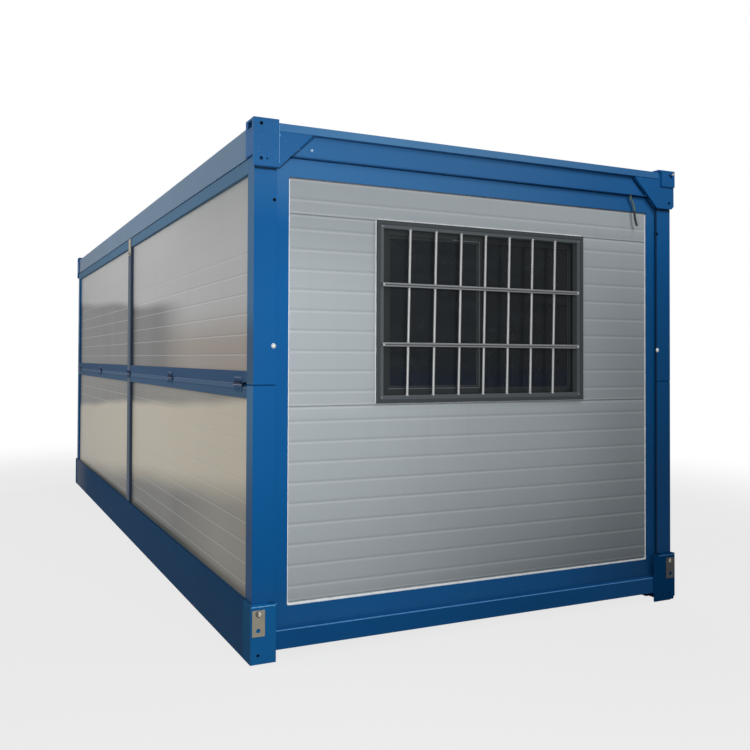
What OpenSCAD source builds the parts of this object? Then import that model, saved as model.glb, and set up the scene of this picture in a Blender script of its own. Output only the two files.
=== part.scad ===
// Folding container house: a bolted steel frame whose long walls fold at
// mid-height and whose end walls swing up under the roof. The window end faces -Y.

/* [Overall size] */
// Outside length, end to end
length = 5800; // [4800:50:7000]
// Outside width
width = 2500; // [2080:10:3000]
// Outside height, from the ground to the top of the corner blocks
height = 2400; // [2000:10:2900]

/* [Steel sections] */
// Thickness of the rolled beams and posts
steel_t = 4; // [3:0.5:6]
// Thickness of the corner plates and block walls
plate_t = 8; // [6:1:10]
// Thickness of the gusset plates
gusset_t = 6; // [4:1:8]
// Depth of a long wall, from the side face to its inner face
wall_zone = 88; // [80:1:110]
// How far the long walls stand in from the side face
wall_inset = 12; // [11:1:20]
// Depth of the corner blocks and posts along the length
corner_depth = 110; // [100:1:140]
// Width of the post's front flange edge, from the side face
corner_width = 120; // [110:1:140]
// How far the posts' front flanges stand behind the end plane
post_setback = 25; // [22:1:32]

/* [Base frame] */
// Height of the base side beams, with their upstand
side_beam_h = 260; // [230:5:300]
// Height of the ledge that the long walls stand on
wall_ledge_h = 190; // [170:5:200]
// Width of the base side beam's bottom flange
side_beam_foot = 110; // [100:5:150]
// Height of the corner feet
foot_h = 258; // [230:1:300]
// Front width of the right-hand feet
wide_foot_w = 150; // [120:5:180]
// Underside of the base end beams
end_beam_low = 48; // [30:1:60]
// Top of the base end beams
end_beam_high = 130; // [110:1:150]
// Joists along the floor
joist_count = 14; // [8:1:20]
// Thickness of the floor board
floor_t = 18; // [12:1:30]
// Width of the link plates bolted to the feet
link_plate_w = 59; // [50:1:70]
// Thickness of the link plates
link_plate_t = 6; // [4:1:8]
// Height of the link plates
link_plate_h = 122; // [100:1:130]

/* [Roof frame] */
// Drop from the corner tops to the end beams' tops
roof_end_top_drop = 14; // [10:1:20]
// Drop from the corner tops to the end beams' undersides
roof_end_drop = 153; // [140:1:180]
// Drop from the corner tops to the side beams' tops
roof_side_top_drop = 26; // [20:1:40]
// Drop from the corner tops to the side beams' undersides
roof_side_drop = 163; // [150:1:180]
// Depth of the drip lip along the top of the end beams
lip_h = 36; // [25:1:45]
// Depth of the roof deck's ribs
deck_rib_h = 25; // [15:1:35]
// Spacing of the roof deck's ribs
deck_pitch = 200; // [150:10:300]
// Thickness of the ceiling board
ceiling_t = 12; // [8:1:30]

/* [Walls] */
// Thickness of the sandwich panels
panel_t = 50; // [40:1:60]
// How far the long wall panels stand behind their frames
panel_recess = 18; // [8:1:20]
// Height of the two rails that meet at the fold
fold_rail_h = 61; // [50:1:80]
// Height of a long wall's top and bottom rails
edge_rail_h = 60; // [50:1:65]
// Width of the mullion at mid-length
mullion_w = 120; // [80:5:160]
// Number of hinges along each fold
fold_hinge_count = 5; // [3:1:7]
// Distance from the end plane to the first fold hinge
fold_hinge_end = 230; // [200:5:300]
// Length of a fold hinge
fold_hinge_l = 110; // [80:5:160]

/* [End walls] */
// Thickness of an end wall's frame
end_frame_t = 58; // [56:1:70]
// Width of an end wall's stiles
stile_w = 87; // [70:1:110]
// Height of an end wall's top rail
end_top_rail_h = 84; // [60:1:110]
// Height of an end wall's bottom rail
end_bottom_rail_h = 93; // [60:1:120]
// Gap that the swinging wall keeps to the posts and beams
swing_gap = 5; // [5:0.5:8]

/* [Window] */
// Outside width of the window frame
window_w = 1240; // [800:10:1500]
// Outside height of the window frame
window_h = 870; // [600:10:1000]
// Distance from the left side to the window frame
window_x = 628; // [300:1:700]
// Drop from the corner tops to the window frame's top
window_drop = 404; // [350:1:500]
// Face width of the window frame
window_face = 38; // [30:1:60]
// Face width of a sash
sash_face = 32; // [25:1:45]
// Overlap of the two sashes at the middle
sash_overlap = 30; // [20:1:50]
// Thickness of the glass
glass_t = 6; // [4:1:10]

/* [Door] */
// Outside width of the door frame
door_w = 930; // [700:10:1000]
// Face width of the door frame
door_face = 40; // [30:1:60]
// Gap round the door leaf
door_gap = 3; // [2:0.5:5]

/* [Swing hinges] */
// Distance from the end wall's inner face to the hinge line
hinge_offset = 28; // [26:1:40]
// Distance between neighbouring hinges
hinge_spacing = 850; // [600:10:900]
// Radius of the hinge pins
pin_r = 8; // [6:0.5:10]
// Running clearance round the pins
pin_clearance = 0.05; // [0.02:0.01:0.1]
// Outside radius of the sleeves and bracket eyes
sleeve_r = 12; // [11:0.5:16]
// Length of a sleeve
sleeve_l = 80; // [50:5:120]

/* [Supply cable] */
// Diameter of the cable
cable_d = 12; // [8:0.5:12.5]
// Radius of the cable gland
gland_r = 7; // [6.5:0.5:7.5]

/* [Hidden] */
$fn = 48;
// Levels
roof_end_z = height - roof_end_drop;
roof_side_z = height - roof_side_drop;
roof_end_top = height - roof_end_top_drop;
roof_side_top = height - roof_side_top_drop;
lip_z = roof_end_top - lip_h;
ceiling_z = roof_end_z + 15;
deck_z = height - 70;
fold_z = (wall_ledge_h + 10 + roof_side_z) / 2;
floor_z = end_beam_high - 2;
joist_z = end_beam_low;
corner_top_t = 10;
corner_plate_low = height - 213;
joist_w = 50;
// Feet
foot_chamfer = [35, 20];
link_plate_u = 8;
link_plate_drop = 16;
// Roof frame: where the side beams' webs stand and where the top flanges end
roof_web_u = 8;
flange_edge = 60;
lip_v = 5;
deck_edge = flange_edge + 2;
deck_t = 3;
// Roof corners
slot_h = 32;
short_plate_w = 98;
short_plate_h = 90;
gusset_reach = 288;
gusset_bend = 15;
// End walls
leaf_v = post_setback + steel_t + swing_gap;
leaf_in = leaf_v + end_frame_t;
beam_in = leaf_in - sleeve_r;
leaf_x = wall_zone + 7;
leaf_low = end_beam_high + 8;
leaf_high = roof_end_z - 6;
infill_x = leaf_x + stile_w;
infill_low = leaf_low + end_bottom_rail_h;
infill_high = leaf_high - end_top_rail_h;
infill_setback = 7;
infill_v = leaf_v + infill_setback;
// Long walls
panel_u = wall_inset + panel_recess;
rail_top = roof_side_z - 3;
infill_side_high = rail_top - edge_rail_h - 5;
fold_gap = 3;
fold_leaf_h = 36;
fold_notch = [48, 50, 10];
latch_t = 6;
latch_w = 70;
latch_h = 124;
latch_offset = -10;
// Window
window_z = height - window_drop - window_h;
window_proud = [6, 2];
window_v = [leaf_v - window_proud[0], leaf_in + window_proud[1]];
sash_w = (window_w - 2 * window_face + sash_overlap) / 2;
sash_t = 18;
sash_setback = 18;
sash_gap = 4;
sash_v = [for (i = [0, 1]) window_v[0] + sash_setback + i * (sash_t + sash_gap)];
// Swing hinge line
pivot_v = leaf_in + hinge_offset;
pivot_z = leaf_high - 1;
hinge_end_gap = 0.5;
arm_t = 8;
hinge_leaf_t = 6;
hinge_leaf_h = 64;
hinge_leaf_top = 4;
// Holes, as distances from the side face and heights
bolt_hole_r = 7;
small_hole_r = 4;
post_hole_r = 6.5;
link_hole_r = 9.5;
short_hole_r = 8;
hole_u = 36;
short_hole = [22, 34];
upper_hole_z = height - 26;
lower_hole_z = height - 180;
small_hole_u = 64;
post_hole = [108, height - 355];
foot_hole_z = 38;
link_hole_z = 147;
// Door
door_x = [(width - door_w) / 2, (width + door_w) / 2];
door_t = 44;
door_setback = 4;
door_hinge_r = 7;
door_hinge_l = 90;
door_hinge_w = 35;
door_hinge_end = 200;
handle_z = 1080;
handle_plate = [36, 200];
lever = [119, 10, 18];
lever_gap = 21;
// Supply cable, from its gland: the route's points are relative to the exit
gland_x = width / 2 - 310;
gland_h = 8;
cable_exit = [gland_x, -length / 2 + 21, roof_end_z - gland_h];
cable_route = [
  [0, 0, 0], [3, 0, -11], [9, 0, -22], [16, 1, -32], [22, 1, -43],
  [26, 1, -54], [29, 1, -66], [31, 1, -78], [32, 1, -90], [33, 1, -102],
  [35, 1, -114], [37, 0, -126], [40, 0, -138], [44, 0, -149], [50, 0, -159]
];
cable_sides = 8;

blue = [0.09, 0.36, 0.60];
panel_grey = [0.68, 0.70, 0.71];
window_grey = [0.25, 0.27, 0.29];
bare_steel = [0.62, 0.60, 0.55];

// A range from its middle and its length
function around(middle, span) = [middle - span / 2, middle + span / 2];

// A box from a range of u, v and z
module slab(u, v, z) {
  translate([u[0], v[0], z[0]])
    cube([u[1] - u[0], v[1] - v[0], z[1] - z[0]]);
}

// A rectangle from a range of each axis
module strip(a, b) {
  translate([a[0], b[0]])
    square([a[1] - a[0], b[1] - b[0]]);
}

// Draws children with u from a side face and v from an end plane
module from_corner(right = false, back = false) {
  mirror([right ? 1 : 0, 0, 0])
    mirror([0, back ? 1 : 0, 0])
      translate([-width / 2, -length / 2, 0])
        children();
}

// Extrudes a section drawn in (u, z) along v
module along_v(v) {
  translate([0, v[1], 0])
    rotate([90, 0, 0])
      linear_extrude(height = v[1] - v[0])
        children();
}

// Extrudes a section drawn in (v, z) along u
module along_u(u) {
  translate([u[0], 0, 0])
    rotate([90, 0, 90])
      linear_extrude(height = u[1] - u[0])
        children();
}

// A hole through a plate, along v
module hole_v(u, z, r, v) {
  translate([u, v[0] - 1, z])
    rotate([-90, 0, 0])
      cylinder(r = r, h = v[1] - v[0] + 2);
}

module base_side_beam(right) {
  color(blue)
    from_corner(right)
      along_v([corner_depth, length - corner_depth]) {
        strip([0, steel_t], [0, side_beam_h]);
        strip([0, wall_inset - 1], [side_beam_h - steel_t, side_beam_h]);
        strip([0, wall_zone], [wall_ledge_h - steel_t, wall_ledge_h]);
        strip([wall_zone - steel_t, wall_zone], [0, wall_ledge_h]);
        strip([0, side_beam_foot], [0, steel_t]);
      }
}

module base_end_beams() {
  front = plate_t + link_plate_t;
  color(blue)
    for (back = [false, true])
      from_corner(false, back)
        along_u([wall_zone, width - wall_zone]) {
          strip([front, front + steel_t], [end_beam_low, end_beam_high]);
          strip([front, beam_in], [end_beam_low, end_beam_low + steel_t]);
          strip([front, corner_depth], [end_beam_high - steel_t, end_beam_high]);
          strip([post_setback, post_setback + steel_t], [end_beam_high - 1, end_beam_high + 12]);
        }
}

// A face plate with a hollow box behind it that is open under the floor
module corner_foot(right) {
  front = [link_plate_t, link_plate_t + plate_t];
  face_w = right ? wide_foot_w : corner_width;
  hollow_v = [front[1], corner_depth - plate_t];
  difference() {
    union() {
      translate([0, front[1], 0])
        rotate([90, 0, 0])
          linear_extrude(height = plate_t)
            if (right)
              polygon([[foot_chamfer[0], 0], [face_w, 0], [face_w, foot_h], [0, foot_h],
                       [0, foot_chamfer[1]]]);
            else
              strip([0, face_w], [0, foot_h]);
      slab([0, wall_zone], [front[1], corner_depth], [0, foot_h]);
    }
    slab([plate_t, wall_zone - plate_t], hollow_v, [plate_t, foot_h - plate_t]);
    slab([plate_t, wall_zone + 1], hollow_v, [plate_t, end_beam_high - plate_t]);
    hole_v(hole_u, foot_hole_z, bolt_hole_r, front);
  }
}

module corner_feet() {
  color(blue)
    for (right = [false, true], back = [false, true])
      from_corner(right, back)
        corner_foot(right);
}

module foot_link_plates() {
  low = foot_h - link_plate_drop - link_plate_h;
  color(bare_steel)
    for (right = [false, true], back = [false, true])
      from_corner(right, back)
        difference() {
          slab([link_plate_u, link_plate_u + link_plate_w], [0, link_plate_t],
               [low, low + link_plate_h]);
          hole_v(hole_u, link_hole_z, link_hole_r, [0, link_plate_t]);
        }
}

module floor_joists() {
  step = (length - 2 * corner_depth) / joist_count;
  color(blue)
    from_corner()
      for (i = [0 : joist_count - 1])
        slab([wall_zone, width - wall_zone], around(corner_depth + (i + 0.5) * step, joist_w),
             [joist_z, floor_z - floor_t]);
}

module floor_board() {
  color([0.55, 0.52, 0.48])
    from_corner()
      slab([wall_zone, width - wall_zone], [corner_depth, length - corner_depth],
           [floor_z - floor_t, floor_z]);
}

// One half of a post: an open channel with its front flange across the end wall's stile
module post_half(z) {
  front = [post_setback, post_setback + steel_t];
  difference() {
    translate([0, 0, z[0]])
      linear_extrude(height = z[1] - z[0]) {
        strip([wall_inset, corner_width], front);
        strip([wall_inset, wall_inset + steel_t], [front[0], corner_depth]);
        strip([wall_inset, wall_zone - 3], [corner_depth - steel_t, corner_depth]);
      }
    hole_v(post_hole[0], post_hole[1], post_hole_r, front);
  }
}

module post(right, back) {
  color(blue)
    from_corner(right, back) {
      post_half([foot_h, fold_z - fold_gap]);
      post_half([fold_z + fold_gap, roof_side_z]);
    }
}

// The rails and the mullion of one half of a long wall, notched where the fold meets the posts
module side_frame(right, rails, low, high) {
  mid = length / 2;
  span = [corner_depth, length - corner_depth];
  color(blue)
    from_corner(right)
      difference() {
        union() {
          for (z = rails)
            slab([wall_inset, wall_zone], span, z);
          slab([wall_inset, wall_zone], around(mid, mullion_w), [low, high]);
        }
        for (v = [[span[0] - 1, span[0] + fold_notch[1]], [span[1] - fold_notch[1], span[1] + 1]])
          slab([wall_inset - 1, wall_inset + fold_notch[0]], v, around(fold_z, 2 * fold_notch[2]));
      }
}

module upper_frame(right) {
  side_frame(right, [[fold_z, fold_z + fold_rail_h], [infill_side_high, rail_top]], fold_z, rail_top);
}

module lower_frame(right) {
  side_frame(right, [[wall_ledge_h, wall_ledge_h + edge_rail_h], [fold_z - fold_rail_h, fold_z]],
             wall_ledge_h, fold_z);
}

// The two panels of one half of a long wall
module side_panels(right, z) {
  mid = length / 2;
  color(panel_grey)
    from_corner(right)
      for (v = [[corner_depth, mid - mullion_w / 2], [mid + mullion_w / 2, length - corner_depth]])
        slab([panel_u, panel_u + panel_t], v, z);
}

module upper_panels(right) {
  side_panels(right, [fold_z + fold_rail_h, infill_side_high]);
}

module lower_panels(right) {
  side_panels(right, [wall_ledge_h + edge_rail_h, fold_z - fold_rail_h]);
}

// Butt hinges on the outer face, with their pins on the fold line
module fold_hinges(right) {
  r = wall_inset / 2;
  step = (length - 2 * fold_hinge_end) / (fold_hinge_count - 1);
  color(blue)
    from_corner(right)
      for (i = [0 : fold_hinge_count - 1])
        along_v(around(fold_hinge_end + i * step, fold_hinge_l)) {
          translate([r, fold_z])
            circle(r = r);
          strip([wall_inset - steel_t, wall_inset], [fold_z - fold_leaf_h, fold_z + fold_leaf_h]);
        }
}

module wall_latches() {
  color([0.80, 0.76, 0.66])
    for (right = [false, true])
      from_corner(right)
        slab([wall_inset - latch_t, wall_inset], around(length / 2 + latch_offset, latch_w),
             [rail_top - latch_h, rail_top]);
}

module end_frame() {
  difference() {
    slab([leaf_x, width - leaf_x], [leaf_v, leaf_in], [leaf_low, leaf_high]);
    slab([infill_x, width - infill_x], [leaf_v - 1, leaf_in + 1], [infill_low, infill_high]);
  }
}

module front_wall_frame() {
  color(blue)
    from_corner()
      end_frame();
}

module front_wall_panel() {
  color(panel_grey)
    from_corner()
      difference() {
        slab([infill_x, width - infill_x], [infill_v, infill_v + panel_t], [infill_low, infill_high]);
        slab([window_x, window_x + window_w], [infill_v - 1, infill_v + panel_t + 1],
             [window_z, window_z + window_h]);
      }
}

// A rectangular ring in the plane of an end wall
module ring(u, v, z, face) {
  difference() {
    slab(u, v, z);
    slab([u[0] + face, u[1] - face], [v[0] - 1, v[1] + 1], [z[0] + face, z[1] - face]);
  }
}

module window_frame() {
  color(window_grey)
    from_corner()
      ring([window_x, window_x + window_w], window_v, [window_z, window_z + window_h], window_face);
}

// The left edge of each sash
function sash_x(i) = window_x + window_face + i * (sash_w - sash_overlap);

module window_sashes() {
  color(window_grey)
    from_corner()
      for (i = [0, 1])
        ring([sash_x(i), sash_x(i) + sash_w], [sash_v[i], sash_v[i] + sash_t],
             [window_z + window_face, window_z + window_h - window_face], sash_face);
}

module window_glass() {
  rim = window_face + sash_face;
  color([0.12, 0.14, 0.15, 0.6])
    from_corner()
      for (i = [0, 1])
        translate([0, sash_v[i] + (sash_t - glass_t) / 2, 0])
          slab([sash_x(i) + sash_face, sash_x(i) + sash_w - sash_face], [0, glass_t],
               [window_z + rim, window_z + window_h - rim]);
}

// Places children at the middle of each swing hinge of one end wall
module at_hinges(back) {
  from_corner(false, back)
    for (i = [-1, 0, 1])
      translate([width / 2 + i * hinge_spacing, pivot_v, pivot_z])
        children();
}

module hinge_cylinder(r, l) {
  rotate([0, 90, 0])
    cylinder(r = r, h = l, center = true);
}

module hinge_sleeves(back) {
  span = around(0, sleeve_l);
  color(blue)
    at_hinges(back)
      difference() {
        union() {
          hinge_cylinder(sleeve_r, sleeve_l);
          slab(span, [-hinge_offset, 0], [-sleeve_r, -hinge_leaf_top]);
          slab(span, [-hinge_offset, -hinge_offset + hinge_leaf_t],
               [-hinge_leaf_top - hinge_leaf_h, -hinge_leaf_top]);
        }
        hinge_cylinder(pin_r + pin_clearance, sleeve_l + 2);
      }
}

// A pin between two arms that stand out from the roof beam
module end_wall_hinge_brackets() {
  arm_x = sleeve_l / 2 + hinge_end_gap;
  beam_face = beam_in - pivot_v;
  color(blue)
    for (back = [false, true])
      at_hinges(back) {
        hinge_cylinder(pin_r, 2 * arm_x + arm_t);
        for (side = [-1, 1])
          translate([side * (arm_x + arm_t / 2), 0, 0]) {
            hinge_cylinder(sleeve_r, arm_t);
            slab(around(0, arm_t), [beam_face, 0], [roof_end_z - pivot_z, ceiling_z - pivot_z]);
          }
      }
}

module back_wall_frame() {
  color(blue)
    from_corner(false, true)
      end_frame();
}

module back_wall_panels() {
  color(panel_grey)
    from_corner(false, true)
      for (u = [[infill_x, door_x[0]], [door_x[1], width - infill_x]])
        slab(u, [infill_v, infill_v + panel_t], [infill_low, infill_high]);
}

module door_frame() {
  color(blue)
    from_corner(false, true)
      ring(door_x, [leaf_v + door_setback, leaf_in], [infill_low, infill_high], door_face);
}

module door() {
  edge = door_face + door_gap;
  face = leaf_v + door_setback;
  hinge_z = [infill_low + door_hinge_end, (infill_low + infill_high) / 2,
             infill_high - door_hinge_end];
  color([0.80, 0.81, 0.81])
    from_corner(false, true) {
      slab([door_x[0] + edge, door_x[1] - edge], [face, face + door_t],
           [infill_low + edge, infill_high - edge]);
      for (z = hinge_z) {
        translate([door_x[0] + edge - door_gap / 2, face - door_hinge_r, z - door_hinge_l / 2])
          cylinder(r = door_hinge_r, h = door_hinge_l);
        slab([door_x[0] + edge, door_x[0] + edge + door_hinge_w], [leaf_v, face],
             around(z, door_hinge_l));
      }
    }
}

// A lever on a back plate
module door_handle() {
  u = door_x[1] - door_face - 60;
  lever_v = leaf_v - lever_gap - lever[1];
  color("silver")
    from_corner(false, true) {
      slab(around(u, handle_plate[0]), [leaf_v, leaf_v + door_setback],
           around(handle_z - 10, handle_plate[1]));
      translate([u, leaf_v - lever_gap - lever[1] / 2, handle_z])
        rotate([-90, 0, 0])
          cylinder(r = 8, h = lever_gap + lever[1] / 2 + 1);
      slab([u + lever[2] / 2 - lever[0], u + lever[2] / 2], [lever_v, lever_v + lever[1]],
           around(handle_z, lever[2]));
    }
}

module roof_side_beam(right) {
  color(blue)
    from_corner(right)
      along_v([corner_depth, length - corner_depth]) {
        strip([roof_web_u, roof_web_u + steel_t], [roof_side_z, roof_side_top]);
        strip([roof_web_u, flange_edge], [roof_side_top - steel_t, roof_side_top]);
        strip([flange_edge - steel_t, flange_edge], [deck_z - steel_t, roof_side_top]);
        strip([flange_edge - steel_t, side_beam_foot], [deck_z - steel_t, deck_z]);
        strip([roof_web_u, wall_zone], [roof_side_z, roof_side_z + steel_t]);
        strip([wall_zone - steel_t, wall_zone], [roof_side_z, ceiling_z]);
      }
}

module roof_end_beams() {
  web = [post_setback, post_setback + steel_t];
  lip = [lip_v, lip_v + steel_t];
  color(blue)
    for (back = [false, true])
      from_corner(false, back)
        along_u([corner_width, width - corner_width]) {
          strip(lip, [lip_z, roof_end_top]);
          strip([lip[0], web[1]], [lip_z, lip_z + steel_t]);
          strip(web, [roof_end_z, lip_z + steel_t]);
          strip([lip[0], flange_edge], [roof_end_top - steel_t, roof_end_top]);
          strip([flange_edge - steel_t, flange_edge], [deck_z - steel_t, roof_end_top]);
          strip([flange_edge - steel_t, corner_depth], [deck_z - steel_t, deck_z]);
          strip([plate_t + gusset_t, beam_in], [roof_end_z, roof_end_z + steel_t]);
          strip([beam_in - steel_t, beam_in], [roof_end_z, ceiling_z]);
        }
}

// Ribbed sheet whose ribs run across the roof
module roof_deck() {
  run = length - 2 * deck_edge;
  count = floor(run / deck_pitch);
  pitch = run / count;
  rib = [[0.30, 0], [0.42, deck_rib_h], [0.58, deck_rib_h], [0.70, 0]];
  top = [for (i = [0 : count - 1], p = rib) [deck_edge + (i + p[0]) * pitch, deck_z + p[1]]];
  ends = [[deck_edge, deck_z], [deck_edge + run, deck_z]];
  upper = concat([ends[0]], top, [ends[1]]);
  lower = [for (i = [len(upper) - 1 : -1 : 0]) upper[i]];
  color([0.75, 0.77, 0.78])
    clear_of_blocks()
      from_corner()
        along_u([deck_edge, width - deck_edge])
          polygon(concat([for (p = lower) [p[0], p[1] + deck_t]], upper));
}

module ceiling_board() {
  edge_u = wall_zone - steel_t;
  edge_v = beam_in - steel_t;
  color([0.85, 0.86, 0.86])
    clear_of_blocks()
      from_corner()
        slab([edge_u, width - edge_u], [edge_v, length - edge_v], [ceiling_z, ceiling_z + ceiling_t]);
}

// Notches children round the four corner blocks
module clear_of_blocks() {
  difference() {
    children();
    for (right = [false, true], back = [false, true])
      from_corner(right, back)
        slab([0, corner_width], [0, corner_depth], [roof_side_z, height]);
  }
}

// A hollow block with a lifting slot in its side, and a top plate
module roof_corner_blocks() {
  front = plate_t + gusset_t;
  under = height - corner_top_t;
  slot = [front + 12, corner_depth - 24];
  color(blue)
    for (right = [false, true], back = [false, true])
      from_corner(right, back)
        difference() {
          union() {
            slab([0, corner_width], [front, corner_depth], [roof_end_z, under]);
            slab([0, wall_zone], [front, corner_depth], [roof_side_z, under]);
            slab([0, corner_width], [0, corner_depth], [under, height]);
          }
          slab([plate_t, corner_width - plate_t], [front + plate_t, corner_depth - plate_t],
               [roof_end_z + plate_t, under]);
          slab([-1, plate_t + 1], slot, [under - slot_h, under]);
          if (right)
            hole_v(short_hole[0], height - short_hole[1], short_hole_r, [front, front + plate_t]);
        }
}

// The tall plate on the left corners and the short one on the right
module roof_corner_plate(right) {
  low = right ? height - short_plate_h : corner_plate_low;
  face_w = right ? short_plate_w : corner_width;
  difference() {
    slab([0, face_w], [0, plate_t], [low, height - corner_top_t]);
    if (right)
      hole_v(short_hole[0], height - short_hole[1], short_hole_r, [0, plate_t]);
    else {
      hole_v(hole_u, lower_hole_z, bolt_hole_r, [0, plate_t]);
      hole_v(small_hole_u, lower_hole_z, small_hole_r, [0, plate_t]);
      hole_v(hole_u, upper_hole_z, bolt_hole_r, [0, plate_t]);
    }
  }
}

module roof_corner_plates() {
  color(blue)
    for (right = [false, true], back = [false, true])
      from_corner(right, back)
        roof_corner_plate(right);
}

module roof_gussets() {
  under = height - corner_top_t;
  color(blue)
    for (right = [false, true], back = [false, true])
      from_corner(right, back)
        difference() {
          translate([0, plate_t + gusset_t, 0])
            rotate([90, 0, 0])
              linear_extrude(height = gusset_t)
                polygon([[gusset_reach, lip_z], [corner_width + 3, corner_plate_low],
                         [gusset_bend, corner_plate_low], [0, corner_plate_low + gusset_bend],
                         [0, under], [corner_width, under], [corner_width, lip_z]]);
          hole_v(hole_u, lower_hole_z, bolt_hole_r, [plate_t, plate_t + gusset_t]);
          if (right)
            hole_v(short_hole[0], height - short_hole[1], short_hole_r, [plate_t, plate_t + gusset_t]);
        }
}

module cable_gland() {
  color("dimgray")
    translate(cable_exit)
      cylinder(r = gland_r, h = gland_h);
}

// Unit direction of the route at point i, from its neighbours
function heading(p, i) =
  let (d = p[min(i + 1, len(p) - 1)] - p[max(i - 1, 0)]) d / norm(d);

// A ring of points round the route at point i
function ring_points(p, i, r, n) =
  let (t = i == 0 ? [0, 0, -1] : heading(p, i), a = cross(t, [0, 1, 0]) / norm(cross(t, [0, 1, 0])),
       b = cross(t, a))
  [for (k = [0 : n - 1]) p[i] + r * (cos(360 * k / n) * a + sin(360 * k / n) * b)];

module supply_cable() {
  stops = [for (i = [0 : 2 : len(cable_route) - 1]) i];
  n = cable_sides;
  rings = len(stops);
  points = [for (s = stops) each ring_points(cable_route, s, cable_d / 2, n)];
  sides = [for (j = [0 : rings - 2], k = [0 : n - 1])
    [j * n + k, j * n + (k + 1) % n, (j + 1) * n + (k + 1) % n, (j + 1) * n + k]];
  caps = [[for (k = [n - 1 : -1 : 0]) k], [for (k = [0 : n - 1]) (rings - 1) * n + k]];
  color([0.20, 0.20, 0.19])
    translate(cable_exit)
      polyhedron(points, concat(sides, caps));
}

base_side_beam(false);  // base_side_beam_left
base_side_beam(true);  // base_side_beam_right
base_end_beams();
corner_feet();
foot_link_plates();
floor_joists();
floor_board();
post(false, false);  // front_left_post
post(true, false);  // front_right_post
post(false, true);  // back_left_post
post(true, true);  // back_right_post
upper_frame(false);  // left_wall_upper_frame
lower_frame(false);  // left_wall_lower_frame
upper_panels(false);  // left_wall_upper_panels
lower_panels(false);  // left_wall_lower_panels
fold_hinges(false);  // left_wall_hinges
upper_frame(true);  // right_wall_upper_frame
lower_frame(true);  // right_wall_lower_frame
upper_panels(true);  // right_wall_upper_panels
lower_panels(true);  // right_wall_lower_panels
fold_hinges(true);  // right_wall_hinges
wall_latches();
front_wall_frame();
front_wall_panel();
window_frame();
window_sashes();
window_glass();
hinge_sleeves(false);  // front_wall_hinge_sleeves
end_wall_hinge_brackets();
back_wall_frame();
back_wall_panels();
hinge_sleeves(true);  // back_wall_hinge_sleeves
door_frame();
door();
door_handle();
roof_side_beam(false);  // roof_side_beam_left
roof_side_beam(true);  // roof_side_beam_right
roof_end_beams();
roof_deck();
ceiling_board();
roof_corner_blocks();
roof_corner_plates();
roof_gussets();
cable_gland();
supply_cable();
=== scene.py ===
import math
import bmesh
import bpy
import numpy as np
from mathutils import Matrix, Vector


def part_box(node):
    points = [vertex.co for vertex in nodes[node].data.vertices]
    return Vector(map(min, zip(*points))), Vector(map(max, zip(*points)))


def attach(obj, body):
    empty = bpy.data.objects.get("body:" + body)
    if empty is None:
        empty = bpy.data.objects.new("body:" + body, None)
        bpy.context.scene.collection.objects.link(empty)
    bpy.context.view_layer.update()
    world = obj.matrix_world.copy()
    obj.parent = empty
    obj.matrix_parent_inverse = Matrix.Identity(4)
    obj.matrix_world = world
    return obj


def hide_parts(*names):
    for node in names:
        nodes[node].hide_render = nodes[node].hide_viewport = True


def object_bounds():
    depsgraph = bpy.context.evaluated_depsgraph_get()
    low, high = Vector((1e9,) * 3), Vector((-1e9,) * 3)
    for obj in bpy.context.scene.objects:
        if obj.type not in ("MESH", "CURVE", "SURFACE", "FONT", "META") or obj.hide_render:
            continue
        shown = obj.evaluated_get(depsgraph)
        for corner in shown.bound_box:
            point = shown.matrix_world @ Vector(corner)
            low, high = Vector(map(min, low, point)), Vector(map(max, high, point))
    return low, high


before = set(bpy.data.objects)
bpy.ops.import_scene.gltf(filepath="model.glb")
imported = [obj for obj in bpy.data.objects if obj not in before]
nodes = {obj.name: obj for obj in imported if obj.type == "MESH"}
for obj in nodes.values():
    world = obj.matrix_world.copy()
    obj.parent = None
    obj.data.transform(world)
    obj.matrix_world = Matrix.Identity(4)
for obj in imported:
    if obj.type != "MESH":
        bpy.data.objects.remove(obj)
cadBounds = [list(corner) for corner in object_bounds()]
lowest, highest = np.array(cadBounds)
print("loaded", len(nodes), "CAD nodes")

shell, swing = "shell", "front_end_wall"  # what stands still, and the window end wall, which swings up

# the camera: its place, its turn in degrees, its lens and its shift
cameraLook = {
    "place": (-2.4241, -6.3304, 1.3383),
    "turn": (90.907, -0.253, -24.564),
    "lens": 39.67,
    "sensor": 36,
    "shift": (0.0542, -0.0395),
}


def addCamera(look):
    data = bpy.data.cameras.new("houseCamera")
    data.lens, data.sensor_width = look["lens"], look["sensor"]
    data.shift_x, data.shift_y = look["shift"]
    data.clip_end = 200
    made = bpy.data.objects.new("houseCamera", data)
    made.location = look["place"]
    made.rotation_euler = [math.radians(angle) for angle in look["turn"]]
    bpy.context.collection.objects.link(made)
    bpy.context.scene.camera = made


addCamera(cameraLook)
print("camera placed")


# every shape below is a pair: its points, and a list of face blocks


# a grid's quads join each point to the next one along and across; a grid may close on itself
def gridQuads(rows, across, wrapRows=False, wrapAcross=False):
    i = np.arange(rows if wrapRows else rows - 1)[:, None]
    j = np.arange(across if wrapAcross else across - 1)[None, :]
    up, over = (i + 1) % rows, (j + 1) % across
    corners = [i * across + j, i * across + over, up * across + over, up * across + j]
    return np.stack(corners, -1).reshape(-1, 4)


# rings of points become a closed body: quads between neighbouring rings and one face over each end
def ringBody(rings):
    count, around = rings.shape[:2]
    ends = np.array([np.arange(around), np.arange(around) + (count - 1) * around])
    return rings.reshape(-1, 3), [gridQuads(count, around, wrapAcross=True), ends]


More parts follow.
